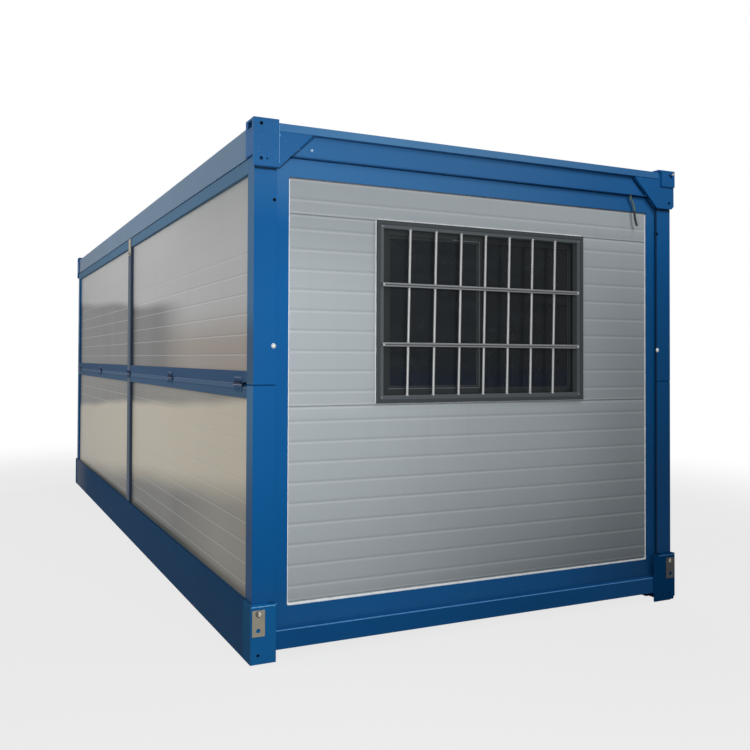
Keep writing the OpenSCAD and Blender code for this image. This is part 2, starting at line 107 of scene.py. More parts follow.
# a turned part: its radius along the axis is the profile's, and where flat is given it is held inside a
# hexagon, whose radius at an angle is the half width over the cosine of the angle from the flat's middle
def turned(profile, centre, axis=(0, -1, 0), steps=24, flat=None):
    profile, axis = np.asarray(profile, float), np.asarray(axis, float)
    axis = axis / np.linalg.norm(axis)
    side = np.cross(axis, (0, 0, 1) if abs(axis[2]) < 0.9 else (1, 0, 0))
    side = side / np.linalg.norm(side)
    over = np.cross(axis, side)
    angle = np.linspace(0, 2 * math.pi, steps, endpoint=False)
    radius = np.repeat(profile[:, :1], steps, 1)
    if flat:
        radius = np.minimum(radius, flat / np.cos((angle % (math.pi / 3)) - math.pi / 6))
    rings = (np.asarray(centre, float) + profile[:, None, 1:2] * axis
             + radius[..., None] * (np.cos(angle)[:, None] * side + np.sin(angle)[:, None] * over))
    return ringBody(rings)


# a section carried along a path: each point of the section is set off from the path's point along two
# directions square to the path, one of them as near to "up" as it can be
def swept(path, section, up=(0, 0, 1), grow=None, loop=False):
    path, section = np.asarray(path, float), np.asarray(section, float)
    if loop:
        ahead = np.roll(path, -1, 0) - np.roll(path, 1, 0)
    else:
        ahead = np.gradient(path, axis=0)
    ahead = ahead / np.linalg.norm(ahead, axis=1, keepdims=True)
    side = np.cross(ahead, up)
    side = side / np.linalg.norm(side, axis=1, keepdims=True)
    over = np.cross(side, ahead)
    size = np.ones(len(path)) if grow is None else grow
    rings = path[:, None] + size[:, None, None] * (
        section[None, :, :1] * side[:, None] + section[None, :, 1:] * over[:, None])
    if loop:
        return rings.reshape(-1, 3), [gridQuads(len(path), len(section), True, True)]
    return ringBody(rings)


# a circle or an ellipse as a section: each half width times the cosine or the sine of the angle
def roundSection(wide, high=None, steps=12):
    angle = np.linspace(0, 2 * math.pi, steps, endpoint=False)
    return np.stack([np.cos(angle) * wide, np.sin(angle) * (wide if high is None else high)], -1)


# an outline whose corners are rounded: each corner gives way to the curve (1-s)^2 a + 2s(1-s) b + s^2 c,
# where b is the corner and a and c lie one radius back along its two edges
def rounded(outline, radius, steps=4):
    outline = np.asarray(outline, float)
    back, ahead = np.roll(outline, 1, 0) - outline, np.roll(outline, -1, 0) - outline
    back = back / np.linalg.norm(back, axis=1, keepdims=True)
    ahead = ahead / np.linalg.norm(ahead, axis=1, keepdims=True)
    r = np.broadcast_to(np.asarray(radius, float), len(outline))[:, None]
    s = np.linspace(0, 1, steps + 1)[None, :, None]
    a, b, c = (outline + back * r)[:, None], outline[:, None], (outline + ahead * r)[:, None]
    return ((1 - s) ** 2 * a + 2 * s * (1 - s) * b + s ** 2 * c).reshape(-1, 2)


# an outline moved inwards by the same distance all round, along the mean of its two edges' normals
def inset(outline, distance):
    edge = np.roll(outline, -1, 0) - outline
    edge = edge / np.maximum(np.linalg.norm(edge, axis=1, keepdims=True), 1e-9)
    normal = np.stack([-edge[:, 1], edge[:, 0]], -1)
    mean = normal + np.roll(normal, 1, 0)
    mean = mean / np.maximum(np.linalg.norm(mean, axis=1, keepdims=True) ** 2 / 2, 1e-6)
    xs, ys = outline.T
    turn = np.sign(np.sum(xs * np.roll(ys, -1) - np.roll(xs, -1) * ys))
    return outline + mean * distance * turn


# a plate from an outline: four rings, of which the outer two are inset so that its edges are bevelled;
# "plane" says which two axes the outline lies in, and the third is the thickness
def plate(outline, span, bevel=0.001, plane=(0, 2)):
    outline = np.asarray(outline, float)
    depth = [span[0], span[0] + bevel, span[1] - bevel, span[1]]
    shapes = [inset(outline, bevel), outline, outline, inset(outline, bevel)]
    rings = np.zeros((4, len(outline), 3))
    rings[:, :, plane[0]] = np.array(shapes)[:, :, 0]
    rings[:, :, plane[1]] = np.array(shapes)[:, :, 1]
    rings[:, :, 3 - plane[0] - plane[1]] = np.array(depth)[:, None]
    return ringBody(rings)


# the four corners of a rectangle, round from its lowest
def rectangle(xs, zs):
    return np.array([[xs[0], zs[0]], [xs[1], zs[0]], [xs[1], zs[1]], [xs[0], zs[1]]], float)


# a mitred frame: the profile's first number goes in from the outline along both axes at once, so that
# the four lengths meet on the diagonals, and its second number goes back from the face
def mitred(xs, zs, face, profile):
    profile = np.asarray(profile, float)
    inward = np.array([[1, 1], [-1, 1], [-1, -1], [1, -1]])
    flat = rectangle(xs, zs)[:, None] + inward[:, None] * profile[None, :, :1]
    depth = np.repeat(face + profile[None, :, 1], 4, 0)
    points = np.stack([flat[..., 0], depth, flat[..., 1]], -1)
    return points.reshape(-1, 3), [gridQuads(4, len(profile), True, True)]


# points an even distance apart round a closed outline, read off along its length: so many, or one each step
def alongOutline(outline, count=None, step=None):
    closed = np.vstack([outline, outline[:1]])
    run = np.concatenate([[0], np.cumsum(np.linalg.norm(np.diff(closed, axis=0), axis=1))])
    at = np.linspace(0, run[-1], count or int(run[-1] / step), endpoint=False)
    return np.stack([np.interp(at, run, closed[:, 0]), np.interp(at, run, closed[:, 1])], -1)


# points along a closed rectangle with rounded corners, in the plane y = face
def loopPath(xs, zs, face, step, corner=0.006):
    flat = alongOutline(rounded(rectangle(xs, zs), corner, 3), step=step)
    return np.stack([flat[:, 0], np.full(len(flat), face), flat[:, 1]], -1)


# an uneven size along a bead: one plus a few sines that share no period
def wobble(count, share, start=0.0):
    s = np.arange(count) + start
    return 1 + share * (0.5 * np.sin(s * 0.83) + 0.3 * np.sin(s * 1.91 + 2) + 0.2 * np.sin(s * 0.27 + 1))


# moves side measures (in from a long side, along, up) to the model's x, y and z
def fromSide(points, right):
    points = np.array(points, float)
    points[..., 0] = (highest[0] - points[..., 0]) if right else (lowest[0] + points[..., 0])
    return points


# moves corner measures (in from a long side, in from an end, up) to the model's x, y and z
def fromCorner(points, right, back):
    points = fromSide(points, right)
    points[..., 1] = (highest[1] - points[..., 1]) if back else (lowest[1] + points[..., 1])
    return points


class Piece:  # gathers closed shapes into one mesh and makes the object from it

    def __init__(self):
        self.points, self.blocks, self.count = [], [], 0

    def add(self, shape, place=None):
        points = place(shape[0]) if place else shape[0]
        self.points.append(points)
        self.blocks += [block + self.count for block in shape[1]]
        self.count += len(points)

    def atSide(self, shape, right):
        self.add(shape, lambda points: fromSide(points, right))

    def atCorners(self, shape, corners):
        for right, back in corners:
            self.add(shape, lambda points: fromCorner(points, right, back))

    def make(self, name, body, finish, slot=None, replaces=(), crease=32):
        faces = [face for block in self.blocks for face in block.tolist()]
        mesh = bpy.data.meshes.new(name)
        mesh.from_pydata(np.concatenate(self.points).tolist(), [], faces)
        return dress(mesh, name, body, finish, replaces, crease)


# makes the object of a mesh: faces outward, smooth but for its creases, with its finish and body
def dress(mesh, name, body, finish, replaces=(), crease=32):
    work = bmesh.new()
    work.from_mesh(mesh)
    bmesh.ops.recalc_face_normals(work, faces=work.faces)
    work.to_mesh(mesh)
    work.free()
    mesh.materials.clear()
    mesh.materials.append(finish)
    mesh.shade_smooth()
    mesh.set_sharp_from_angle(angle=math.radians(crease))
    made = bpy.data.objects.new(name, mesh)
    bpy.context.collection.objects.link(made)
    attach(made, body)
    if replaces:
        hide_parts(*replaces)
    return made


# corners, each as (on the right, at the back)
leftCorners = ((False, False), (False, True))
rightCorners = ((True, False), (True, True))
allCorners = ((False, False), (True, False), (False, True), (True, True))


def boxOf(node):  # a node's lowest and highest corners
    low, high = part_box(node)
    return np.array(low), np.array(high)


def pointsOf(node):  # the points of a node's mesh
    vertices = nodes[node].data.vertices
    flat = np.zeros(len(vertices) * 3, np.float32)
    vertices.foreach_get("co", flat)
    return flat.reshape(-1, 3).astype(float)


def srgb(*levels):  # a colour in levels from 0 to 255, made linear
    c = np.array(levels) / 255
    linear = np.where(c <= 0.04045, c / 12.92, ((c + 0.055) / 1.055) ** 2.4)
    return (*(float(x) for x in linear), 1.0)


class Wire:  # one output socket; maths written with it adds Math nodes

    def __init__(self, paint, socket):
        self.paint, self.socket = paint, socket

    def __getitem__(self, name):
        return Wire(self.paint, self.socket.node.outputs[name])

    def worked(self, kind, first, second):
        return self.paint.node("ShaderNodeMath", {"operation": kind}, {0: first, 1: second})

    def __add__(self, other):
        return self.worked("ADD", self, other)

    def __radd__(self, other):
        return self.worked("ADD", other, self)

    def __sub__(self, other):
        return self.worked("SUBTRACT", self, other)

    def __rsub__(self, other):
        return self.worked("SUBTRACT", other, self)

    def __mul__(self, other):
        return self.worked("MULTIPLY", self, other)

    def __rmul__(self, other):
        return self.worked("MULTIPLY", other, self)

    def __truediv__(self, other):
        return self.worked("DIVIDE", self, other)

    def __mod__(self, other):
        return self.worked("FLOORED_MODULO", self, other)

    def larger(self, other):
        return self.worked("MAXIMUM", self, other)

    def size(self):
        return self.worked("ABSOLUTE", self, 0)

    def whole(self):
        return self.worked("FLOOR", self, 0)

    # a smooth step from 0 at one value to 1 at the other
    def step(self, start, end):
        return self.paint.node("ShaderNodeMapRange", {"interpolation_type": "SMOOTHSTEP"},
                               {0: self, 1: start, 2: end, 3: 0.0, 4: 1.0})


class Paint:  # a material, or the world, as it is being put together

    def __init__(self, name, world=None):
        self.material = world or bpy.data.materials.new(name)
        self.material.use_nodes = True
        self.tree = self.material.node_tree
        self.tree.nodes.clear()
        self.where = self.node("ShaderNodeTexCoord", pick="Object")
        self.x = self.node("ShaderNodeSeparateXYZ", sockets={0: self.where}, pick="X")
        self.y, self.z = self.x["Y"], self.x["Z"]

    def node(self, kind, settings=None, sockets=None, pick=0):
        made = self.tree.nodes.new(kind)
        for key, value in (settings or {}).items():
            setattr(made, key, value)
        for key, value in (sockets or {}).items():
            if isinstance(value, Wire):
                self.tree.links.new(value.socket, made.inputs[key])
            else:
                made.inputs[key].default_value = value
        if len(made.outputs):
            return Wire(self, made.outputs[pick])

    def noise(self, scale, detail, stretch=None):
        where = self.where
        if stretch:
            where = self.node("ShaderNodeMapping", sockets={"Vector": where, "Scale": stretch})
        return self.node("ShaderNodeTexNoise", sockets={"Vector": where, "Scale": scale, "Detail": detail})

    def cells(self, scale, pick="Distance"):
        return self.node("ShaderNodeTexVoronoi", sockets={"Vector": self.where, "Scale": scale}, pick=pick)

    def mixed(self, share, first, second):
        return self.node("ShaderNodeMix", {"data_type": "RGBA"}, {0: share, 6: first, 7: second}, 2)

    # a colour made lighter or darker by a share that moves about zero
    def toned(self, colour, share, depth):
        dark = tuple(c * (1 - depth) for c in colour[:3]) + (1.0,)
        light = tuple(min(1.0, c * (1 + depth)) for c in colour[:3]) + (1.0,)
        return self.mixed(share, dark, light)

    def bumped(self, height, strength, distance):
        sockets = {"Height": height, "Strength": strength, "Distance": distance}
        return self.node("ShaderNodeBump", sockets=sockets)

    def finish(self, sockets):
        shader = self.node("ShaderNodeBsdfPrincipled", sockets=sockets)
        self.node("ShaderNodeOutputMaterial", sockets={"Surface": shader})
        return self.material


# the supply cable: a bare cut end, hanging free below its gland; drops are millimetres from the exit
cable = {
    "exit": (0.940, -2.879, 2.239),
    "diameter": 0.012,
    "drops": [(0, 0, 0), (3, 0, -11), (9, 0, -22), (16, 1, -32), (22, 1, -43), (26, 1, -54), (29, 1, -66),
              (31, 1, -78), (32, 1, -90), (33, 1, -102), (35, 1, -114), (37, 0, -126), (40, 0, -138),
              (44, 0, -149), (50, 0, -159)],
    "upper": srgb(102, 122, 118),
    "lower": srgb(42, 50, 53),
    "dust": srgb(136, 148, 144),
    "darkBelow": (0.075, 0.060),   # the pale upper part gives way over this stretch below the exit
    "coreRadius": 0.0021,
    "coreOut": 0.0016,
    "coreAside": 0.0028,
    "coreTurns": (0.4, 2.5, 4.6),
    "glandProfile": [(0.0062, 0.0), (0.0066, 0.0006), (0.0069, 0.0022), (0.0069, 0.0036), (0.00635, 0.0040),
                     (0.00635, 0.0046), (0.0070, 0.0050), (0.0070, 0.0076), (0.0066, 0.0079)],
}


def cableSheath(c):
    paint = Paint("cableSheath")
    low, high = (c["exit"][2] - below for below in c["darkBelow"])
    colour = paint.mixed((paint.z + 0.02 * paint.noise(60.0, 2.0)).step(low, high), c["lower"], c["upper"])
    dust = paint.noise(240.0, 4.0).step(0.45, 0.75)
    colour = paint.mixed(dust * 0.3, colour, c["dust"])
    rings = paint.noise(900.0, 2.0, (1, 1, 4))
    return paint.finish({"Base Color": colour, "Roughness": 0.55 + 0.25 * dust, "Specular IOR Level": 0.3,
                         "Normal": paint.bumped(rings, 0.25, 0.0006)})


def coreCopper():
    paint = Paint("coreCopper")
    strands = paint.cells(2600.0)
    colour = paint.mixed(strands.step(0.1, 0.5), srgb(150, 92, 60), srgb(205, 140, 95))
    return paint.finish({"Base Color": colour, "Metallic": 1.0, "Roughness": 0.35 + 0.2 * strands})


def glandPlastic():
    paint = Paint("glandPlastic")
    grain = paint.noise(700.0, 3.0)
    return paint.finish({"Base Color": paint.toned(srgb(42, 44, 45), grain, 0.25),
                         "Roughness": 0.5 + 0.15 * grain,
                         "Normal": paint.bumped(grain, 0.2, 0.0004)})


def makeCable(c):
    route = np.array(c["exit"]) + np.array(c["drops"]) / 1000
    at = np.linspace(0, len(route) - 1, 57)
    path = np.stack([np.interp(at, np.arange(len(route)), route[:, k]) for k in range(3)], -1)
    for _ in range(3):  # rounds the corners off, ends held
        path[1:-1] = (path[:-2] + 2 * path[1:-1] + path[2:]) / 4
    sheath, cores, gland = Piece(), Piece(), Piece()
    sheath.add(swept(path, roundSection(c["diameter"] / 2, steps=20), up=(0, 1, 0)))
    sheathPiece = sheath.make("supply_cable_sheath", shell, cableSheath(c), "cable_sheath", ["supply_cable"])

    ahead = path[-1] - path[-2]
    ahead = ahead / np.linalg.norm(ahead)
    over = np.array((0, 1, 0))
    side = np.cross(ahead, over)
    r, out = c["coreRadius"], c["coreOut"]
    coreProfile = [(r * 0.9, -0.001), (r, 0.0), (r, out * 0.8), (r * 0.8, out)]
    for turn in c["coreTurns"]:
        centre = path[-1] + c["coreAside"] * (math.cos(turn) * side + math.sin(turn) * over)
        cores.add(turned(coreProfile, centre, ahead, 14))
    coresPiece = cores.make("supply_cable_cores", shell, coreCopper())

    gland.add(turned(c["glandProfile"], c["exit"], (0, 0, 1), 36))
    glandPiece = gland.make("cable_gland_body", shell, glandPlastic(), "black_plastic", ["cable_gland"], 24)


makeCable(cable)

# blue paint, what lies on it, and the sheen, highlights and shade painted on it
steelPaint = {
    "blue": srgb(8, 92, 156),
    "dust": srgb(120, 130, 135),
    "rust": srgb(96, 62, 44),
    "worn": srgb(116, 170, 214),     # a painted sheen of reflected sky, on faces near the top
    "ledge": srgb(112, 174, 228),    # a painted highlight along the flat top of a ledge
    "flank": srgb(44, 90, 130),      # a painted sheen on faces towards the long sides
    "shaded": srgb(4, 30, 58),
    "scratch": srgb(190, 212, 232),
    "grime": srgb(6, 12, 20),
    "roughness": 0.42,
}
# on the steel this dark colour is painted shade, in bores and gaps and in lines under edges; on the sheets
# the same key is real grime
grime = steelPaint["grime"]
halfWide = cadBounds[1][0]
foldHeight = 1.218  # where the long walls and the posts are cut
beamSeam = 2.3475   # where the roof's end beams turn over into their lip
# the mullion's width, and the strip of its near side that has painted shade
mullion = {"width": 0.120, "gapAt": -0.047, "gapHalf": 0.0135}

# bores, as (in from a long side, up, radius)
bores = {
    "post": (0.108, 2.045, 0.0080),
    "behindPost": (0.108, 2.045, 0.0300),
    "stile": (0.112, 2.045, 0.0115),
    "blockTop": (0.036, 2.374, 0.008),
    "plateFoot": (0.036, 2.220, 0.008),
    "plateSmall": (0.064, 2.220, 0.004),
    "rightBlock": (0.0105, 2.3835, 0.0075),
}


# masks over a piece, from 0 to 1; the note beside each says where it is 1


def past(value, edge, soft=0.0004):  # past an edge
    return (value - edge).step(0, soft)


def between(value, rise, fall):  # after the rise over one pair of values, until the fall over the other
    return value.step(*rise) * (1 - value.step(*fall))


def strip(value, middle, half):  # nearer to a middle value than a half width
    return 1 - (value - middle).size().step(half * 0.8, half * 1.2)


def onFlank(p, deep):  # less than this far in from a long side's outermost face
    return past(p.x.size(), halfWide - deep)


def litLedgeAt(p, height):  # a painted highlight along the flat top of a ledge, uneven along it
    level = 1 - (p.z - height).size().step(0.0004, 0.0009)
    return level * (1 - past(p.x.size(), halfWide - 0.004, 0.0005)) * (0.6 + 0.5 * p.noise(30.0, 3.0))


def boreAt(p, u, z, radius):  # nearer the bore's axis than its radius
    across, up = p.x.size() - (halfWide - u), p.z - z
    return 1 - (across * across + up * up).step((radius * 0.96) ** 2, (radius * 1.06) ** 2)


def underEdge(p, start, end, wide):  # a soft line just below the straight edge from one (u, z) to another
    du, dz = end[0] - start[0], end[1] - start[1]
    long = math.hypot(du, dz)
    across = ((halfWide - p.x.size()) - start[0]) * (dz / long) - (p.z - start[1]) * (du / long)
    held = (p.z - start[1]).step(-0.002, 0.0) * (1 - (p.z - end[1]).step(0.0, 0.002))
    return (1 - (across - 0.3 * wide).size() / (0.7 * wide)).larger(0.0) * held


def underGusset(p):  # the shadow line below the slanting edge of a gusset
    return underEdge(p, (0.123, 2.187), (0.288, 2.343), 0.012) * 0.8


def scratches(p):  # scraped streaks at the left corners of the roof
    streak = (0.10 - p.cells(75.0)).step(0.0, 0.03) * (0.4 + 0.6 * p.noise(20.0, 2.0))
    return streak * p.z.step(2.19, 2.22) * (-1 * p.x).step(0.96, 1.0) * 0.7


def rightShade(p):  # painted shade: the ends darker towards the right and the ground
    return p.x.step(0.3, 1.1) * (1 - p.z.step(0.4, 2.1)) * 0.42


def lipSheen(p):  # an uneven painted sheen of reflected sky along the end beams' lip, most near the left corner
    along = (1 - 0.6 * p.x.step(0.0, 1.1)) * (0.5 + 0.5 * p.x.step(-1.15, -0.7))
    return p.z.step(2.350, 2.351) * 0.45 * along * (0.6 + 0.4 * p.noise(3.0, 4.0, (1, 1, 0.2)))


# semi-gloss paint: slow drifts in tone, an orange-peel bump, dust low down, a painted sheen of reflected sky
# high up, small chips that show rust, then the marks that the piece has of its own, each a mask and the
# colour it mixes in
def blueFinish(name="bluePaint", blue=None, dusty=0.08, chipped=0.5, rough=0.0, specular=0.08, topSheen=0.0,
               marks=()):
    s, paint = steelPaint, Paint(name)
    drift, speck = paint.noise(1.7, 4.0), paint.noise(46.0, 4.0)
    colour = paint.toned(blue or s["blue"], drift, 0.14)
    if topSheen:
        share = paint.z.step(1.9, 2.2) * (1 - 0.7 * paint.x.step(-0.2, 1.1)) * topSheen
        colour = paint.mixed(share, colour, s["worn"])
    low = (0.45 - paint.z).step(0.0, 0.45) * dusty + 0.06 * dusty
    dust = (low * (0.4 + speck)).larger(0.0)
    colour = paint.mixed(dust, colour, s["dust"])
    chips = paint.cells(23.0)
    chip = (0.060 - chips - 0.045 * paint.noise(9.0, 2.0)).step(0.0, 0.006) * chipped
    colour = paint.mixed(chip, colour, s["rust"])
    for mask, tone in marks:
        colour = paint.mixed(mask(paint), colour, tone)
    peel = paint.noise(320.0, 2.0) + 0.5 * paint.noise(90.0, 2.0) - 0.6 * chip
    return paint.finish({"Base Color": colour,
                         "Roughness": s["roughness"] + rough + 0.10 * speck + 0.25 * dust + 0.3 * chip,
                         "Specular IOR Level": specular,
                         "Normal": paint.bumped(peel, 0.12, 0.0008)})


bluePaint = blueFinish()
# the end walls' frames: painted sheen high up, painted shade under the gussets, in the stile's bore and
# towards the lower right
wallPaint = blueFinish("wallPaint", topSheen=0.26, marks=[
    (underGusset, grime),
    (lambda p: boreAt(p, *bores["stile"]) * past(p.x.size(), 1.1303), grime),
    (rightShade, steelPaint["shaded"]),
])
# the feet: painted shade on the right feet, and a painted sheen on their faces towards the long sides and on
# the top beside them
footPaint = blueFinish("footPaint", blue=srgb(22, 106, 170), dusty=0.03, rough=0.25, specular=0.0, marks=[
    (lambda p: p.x.step(0.2, 1.0) * 0.8, srgb(6, 58, 106)),
    (lambda p: onFlank(p, 0.0018), steelPaint["flank"]),
    (lambda p: onFlank(p, 0.0122) * p.z.step(0.2574, 0.2578), steelPaint["flank"]),
])
# the end sills: a painted highlight along their ledge
sillPaint = blueFinish("sillPaint", blue=srgb(6, 84, 144), dusty=0.02, marks=[
    (lambda p: litLedgeAt(p, 0.130), steelPaint["ledge"]),
])
# the roof corners: painted sheen high up, real scratches, a painted shadow under the lip and painted shade in
# the bores
cornerPaint = blueFinish("cornerPaint", topSheen=0.13, marks=[
    (scratches, steelPaint["scratch"]),
    (lambda p: strip(p.z, beamSeam, 0.0024) * 0.5 * (2.886 - p.y.size()).step(0.0, 0.001), grime),
    (lambda p: boreAt(p, *bores["blockTop"]), grime),
    (lambda p: boreAt(p, *bores["plateFoot"]), grime),
    (lambda p: boreAt(p, *bores["plateSmall"]) * (1 - p.x.step(0.0, 0.1)), grime),
    (lambda p: boreAt(p, *bores["rightBlock"]) * p.x.step(0.0, 0.1), srgb(205, 196, 186)),
])
# the posts: painted sheen high up, painted shade in and behind the bores and towards the lower right
postPaint = blueFinish("postPaint", topSheen=0.13, marks=[
    (lambda p: boreAt(p, *bores["post"]), grime),
    (lambda p: boreAt(p, *bores["behindPost"]) * (1 - past(p.y.size(), 2.869, 0.001)), grime),
    (rightShade, steelPaint["shaded"]),
    # painted light on the face towards the long side: a paler sheen, with painted shade near the ground and
    # just above the cut
    (lambda p: onFlank(p, 0.0128), srgb(62, 112, 152)),
    (lambda p: onFlank(p, 0.0128) * (1 - p.z.step(0.5, 1.15)) * 0.95, srgb(6, 60, 104)),
    (lambda p: onFlank(p, 0.0128) * between(p.z, (1.22, 1.23), (1.4, 1.6)) * 0.7, srgb(34, 66, 94)),
    # a painted shadow under the corner plate, and painted shade down the joint beside the right post
    (lambda p: between(p.z, (2.172, 2.181), (2.187, 2.188)) * (1 - p.x.size().step(1.237, 1.2374)) * 0.85,
     grime),
    (lambda p: between(p.x, (1.1275, 1.1295), (1.1395, 1.1415)) * 0.75, grime),
])
# the end beams: painted sheen high up and along the lip, painted shadow under the gussets and under the lip,
# and real scratches
beamPaint = blueFinish("beamPaint", topSheen=0.22, marks=[
    (scratches, steelPaint["scratch"]),
    (underGusset, grime),
    (lipSheen, steelPaint["worn"]),
    (lambda p: strip(p.z, beamSeam, 0.0024) * 0.6, grime),
])
# the roof's side beams: a greyer copy of the blue, a painted sheen of reflected sky
roofPaint = blueFinish("roofPaint", blue=srgb(80, 116, 148), dusty=0.1, specular=0.3)
# the base's side beams: a darker copy of the blue, painted shade, with more chipping, and paler towards the
# back end
basePaint = blueFinish("basePaint", blue=srgb(14, 60, 98), dusty=0.05, chipped=0.9, rough=0.30, specular=0.05,
                       marks=[(lambda p: p.y.step(1.9, 2.7) * 0.7, srgb(116, 124, 142))])
# the long walls' frames: a greyer copy of the blue, a painted sheen, paler near the top and below the cut; a
# painted highlight and a painted shadow along the fold; on the mullion a painted lit face and painted shade
# on its near side
railPaint = blueFinish("railPaint", blue=srgb(54, 84, 118), chipped=0.8, rough=0.22, specular=0.08, marks=[
    (lambda p: p.z.step(1.9, 2.0), srgb(90, 126, 156)),
    (lambda p: 1 - past(p.z, foldHeight - 0.0015, 0.001), srgb(68, 98, 128)),
    (lambda p: strip(p.z, foldHeight - 0.0100, 0.009) * 0.35, srgb(104, 128, 158)),
    (lambda p: strip(p.z, foldHeight - 0.0225, 0.0035) * 0.4, srgb(36, 56, 84)),
    (lambda p: 1 - past(p.y.size(), mullion["width"] / 2, 0.0005), srgb(102, 114, 128)),
    (lambda p: strip(p.y, mullion["gapAt"], mullion["gapHalf"]), srgb(36, 56, 84)),
])
# the fold hinges' leaves: a painted highlight along the upper leaf's top edge and a painted shadow just above
# the knuckle
leafPaint = blueFinish("leafPaint", blue=srgb(58, 86, 118), chipped=0.3, rough=0.22, marks=[
    (lambda p: strip(p.z, foldHeight + 0.0315, 0.0028), srgb(112, 126, 160)),
    (lambda p: strip(p.z, foldHeight + 0.0115, 0.0042), srgb(12, 16, 40)),
])
# the welds along the feet's top edges: pale blue, a painted highlight, with painted shade towards the right
seamHighlight = blueFinish("seamHighlight", blue=srgb(112, 178, 232), dusty=0.0, chipped=0.0, marks=[
    (lambda p: p.x.step(0.2, 1.0) * 0.7, srgb(40, 96, 150)),
])
# the pale blue of the welds at the left corners is a painted highlight
litWeld = blueFinish("litWeld", blue=srgb(96, 152, 204), dusty=0.0, chipped=0.0, rough=-0.1, specular=0.4)

# coated sheet: its colours, its boards with their pressed grooves, and the height of one joint in each wall
sheetPaint = {
    "front": srgb(177, 185, 190),
    "sideLow": srgb(207, 198, 178),
    "sideHigh": srgb(186, 187, 186),
    "boardRise": 0.874,
    "frontJoint": 0.245,
    "lowerJoint": 0.247,
    "upperJoint": 0.230,
    "pitch": 0.092375,
    "margin": 0.0675,
    "grime": srgb(120, 122, 118),
    "lineWide": 0.0068,
    "lineAside": 0.0062,
    "lit": srgb(238, 241, 242),
    "shade": srgb(96, 100, 103),
}


# a sheet's finish: each board has its own slight tone, with long soft smears, fine grime and light streaks;
# each groove is drawn as a pair of lines, a painted highlight below and a painted shadow above, and each
# joint as a dark gap with a painted highlight beside it; "lines" is their strength, which "shown" may vary
# over the sheet; the masks passed in hold painted shade and painted reflections, each with the tint that it
# mixes in
def sheetFinish(name, colour, roughness, specular=0.4, soiled=0.15, lines=0.0, joint=sheetPaint["frontJoint"],
                jointed=1.6, thin=1.0, paintedLight=(), shown=None):
    s, paint = sheetPaint, Paint(name)
    if shown:
        lines = lines * shown(paint)
    board = ((paint.z - joint) / s["boardRise"]).whole()
    own = paint.node("ShaderNodeTexWhiteNoise", {"noise_dimensions": "1D"}, {"W": board + 3.7})
    smear = paint.noise(3.0, 5.0, (1.0, 1.0, 0.35))
    drift = paint.noise(0.9, 3.0)
    tone = paint.toned(colour, 0.25 * own + 0.35 * smear + 0.4 * drift, 0.10)
    for mask, tint in paintedLight:
        tone = paint.mixed(mask(paint), tone, tint)

    rise, halfBoard = (paint.z - joint) % s["boardRise"], s["boardRise"] / 2
    off = (rise - halfBoard).size()  # from the middle of the board
    edge = halfBoard - off           # from its nearer joint
    inside = 1 - off.step(halfBoard - s["margin"] + 0.018, halfBoard - s["margin"] + 0.02)
    groove = ((rise - (s["margin"] - s["pitch"] / 2)) % s["pitch"]) - s["pitch"] / 2
    wide, aside = s["lineWide"] * thin, s["lineAside"] * thin
    lit = (1 - (groove + aside).size() / wide).larger(0.0) * inside
    dark = (1 - (groove - aside).size() / wide).larger(0.0) * inside
    gap = (1 - edge / 0.004).larger(0.0)
    rim = (1 - (edge - 0.009).size() / 0.006).larger(0.0)
    tone = paint.mixed((lit + 0.6 * jointed * rim) * lines, tone, s["lit"])
    tone = paint.mixed((dark + jointed * gap) * lines, tone, s["shade"])

    speck = paint.noise(150.0, 3.0).step(0.62, 0.74)
    streak = paint.noise(16.0, 4.0, (1.0, 1.0, 0.06)).step(0.52, 0.8)
    soil = speck * 0.10 + streak * soiled
    tone = paint.mixed(soil, tone, s["grime"])
    skin, dent = paint.noise(420.0, 2.0), paint.noise(2.6, 2.0)
    return paint.finish({"Base Color": tone, "Roughness": roughness + 0.12 * smear + 0.2 * soil,
                         "Specular IOR Level": specular,
                         "Normal": paint.bumped(0.06 * skin + dent, 0.25, 0.004)})


# painted shade and painted reflections on the sheets, with soft wandering edges


def frontFoot(p):  # painted shade near the ground, and more so towards the right
    return (1 - (p.z + 0.25 * p.noise(1.1, 3.0)).step(0.3, 1.1)) * p.x.step(-0.9, 0.6) * 0.52


def frontRight(p):  # painted shade down the right side
    return (1 - p.z.step(1.2, 2.1)) * p.x.step(0.35, 1.05) * 0.34


def frontTop(p):  # painted shadow at the top, and more so towards the left
    return p.z.step(1.6, 2.05) * (1 - p.x.step(-1.1, 0.5)) * 0.27


def lowerReflection(p):  # a dark painted reflection: strong under the fold away from the window end, and at the foot below a slanting edge
    wander = 0.10 * (p.noise(0.7, 1.0) - 0.5)
    foot = (1 - (p.z + 0.09 * p.y + wander).step(0.36, 0.56)) * (0.75 + 0.25 * p.y.step(-2.4, -1.4))
    top = (p.z + 0.055 * p.y + wander).step(0.96, 1.03) * (0.75 + 0.25 * p.y.step(-1.8, 0.0))
    return foot.larger(top)


def upperReflection(p):  # a dark painted reflection below a wandering edge, away from the window end
    wander = 0.10 * (p.noise(0.7, 1.0) - 0.5)
    return (1 - (p.z - 0.056 * p.y + wander).step(1.70, 1.78)) * p.y.step(-1.8, -0.8)


def upperNearFoot(p):  # a warm painted reflection just above the fold, near the window end
    return (1 - p.z.step(1.38, 1.64)) * (1 - p.y.step(-1.3, -0.3)) * 0.75


def upperNearTop(p):  # painted shadow under the roof, near the window end
    return p.z.step(1.85, 2.15) * (1 - p.y.step(-2.6, -0.8)) * 0.35


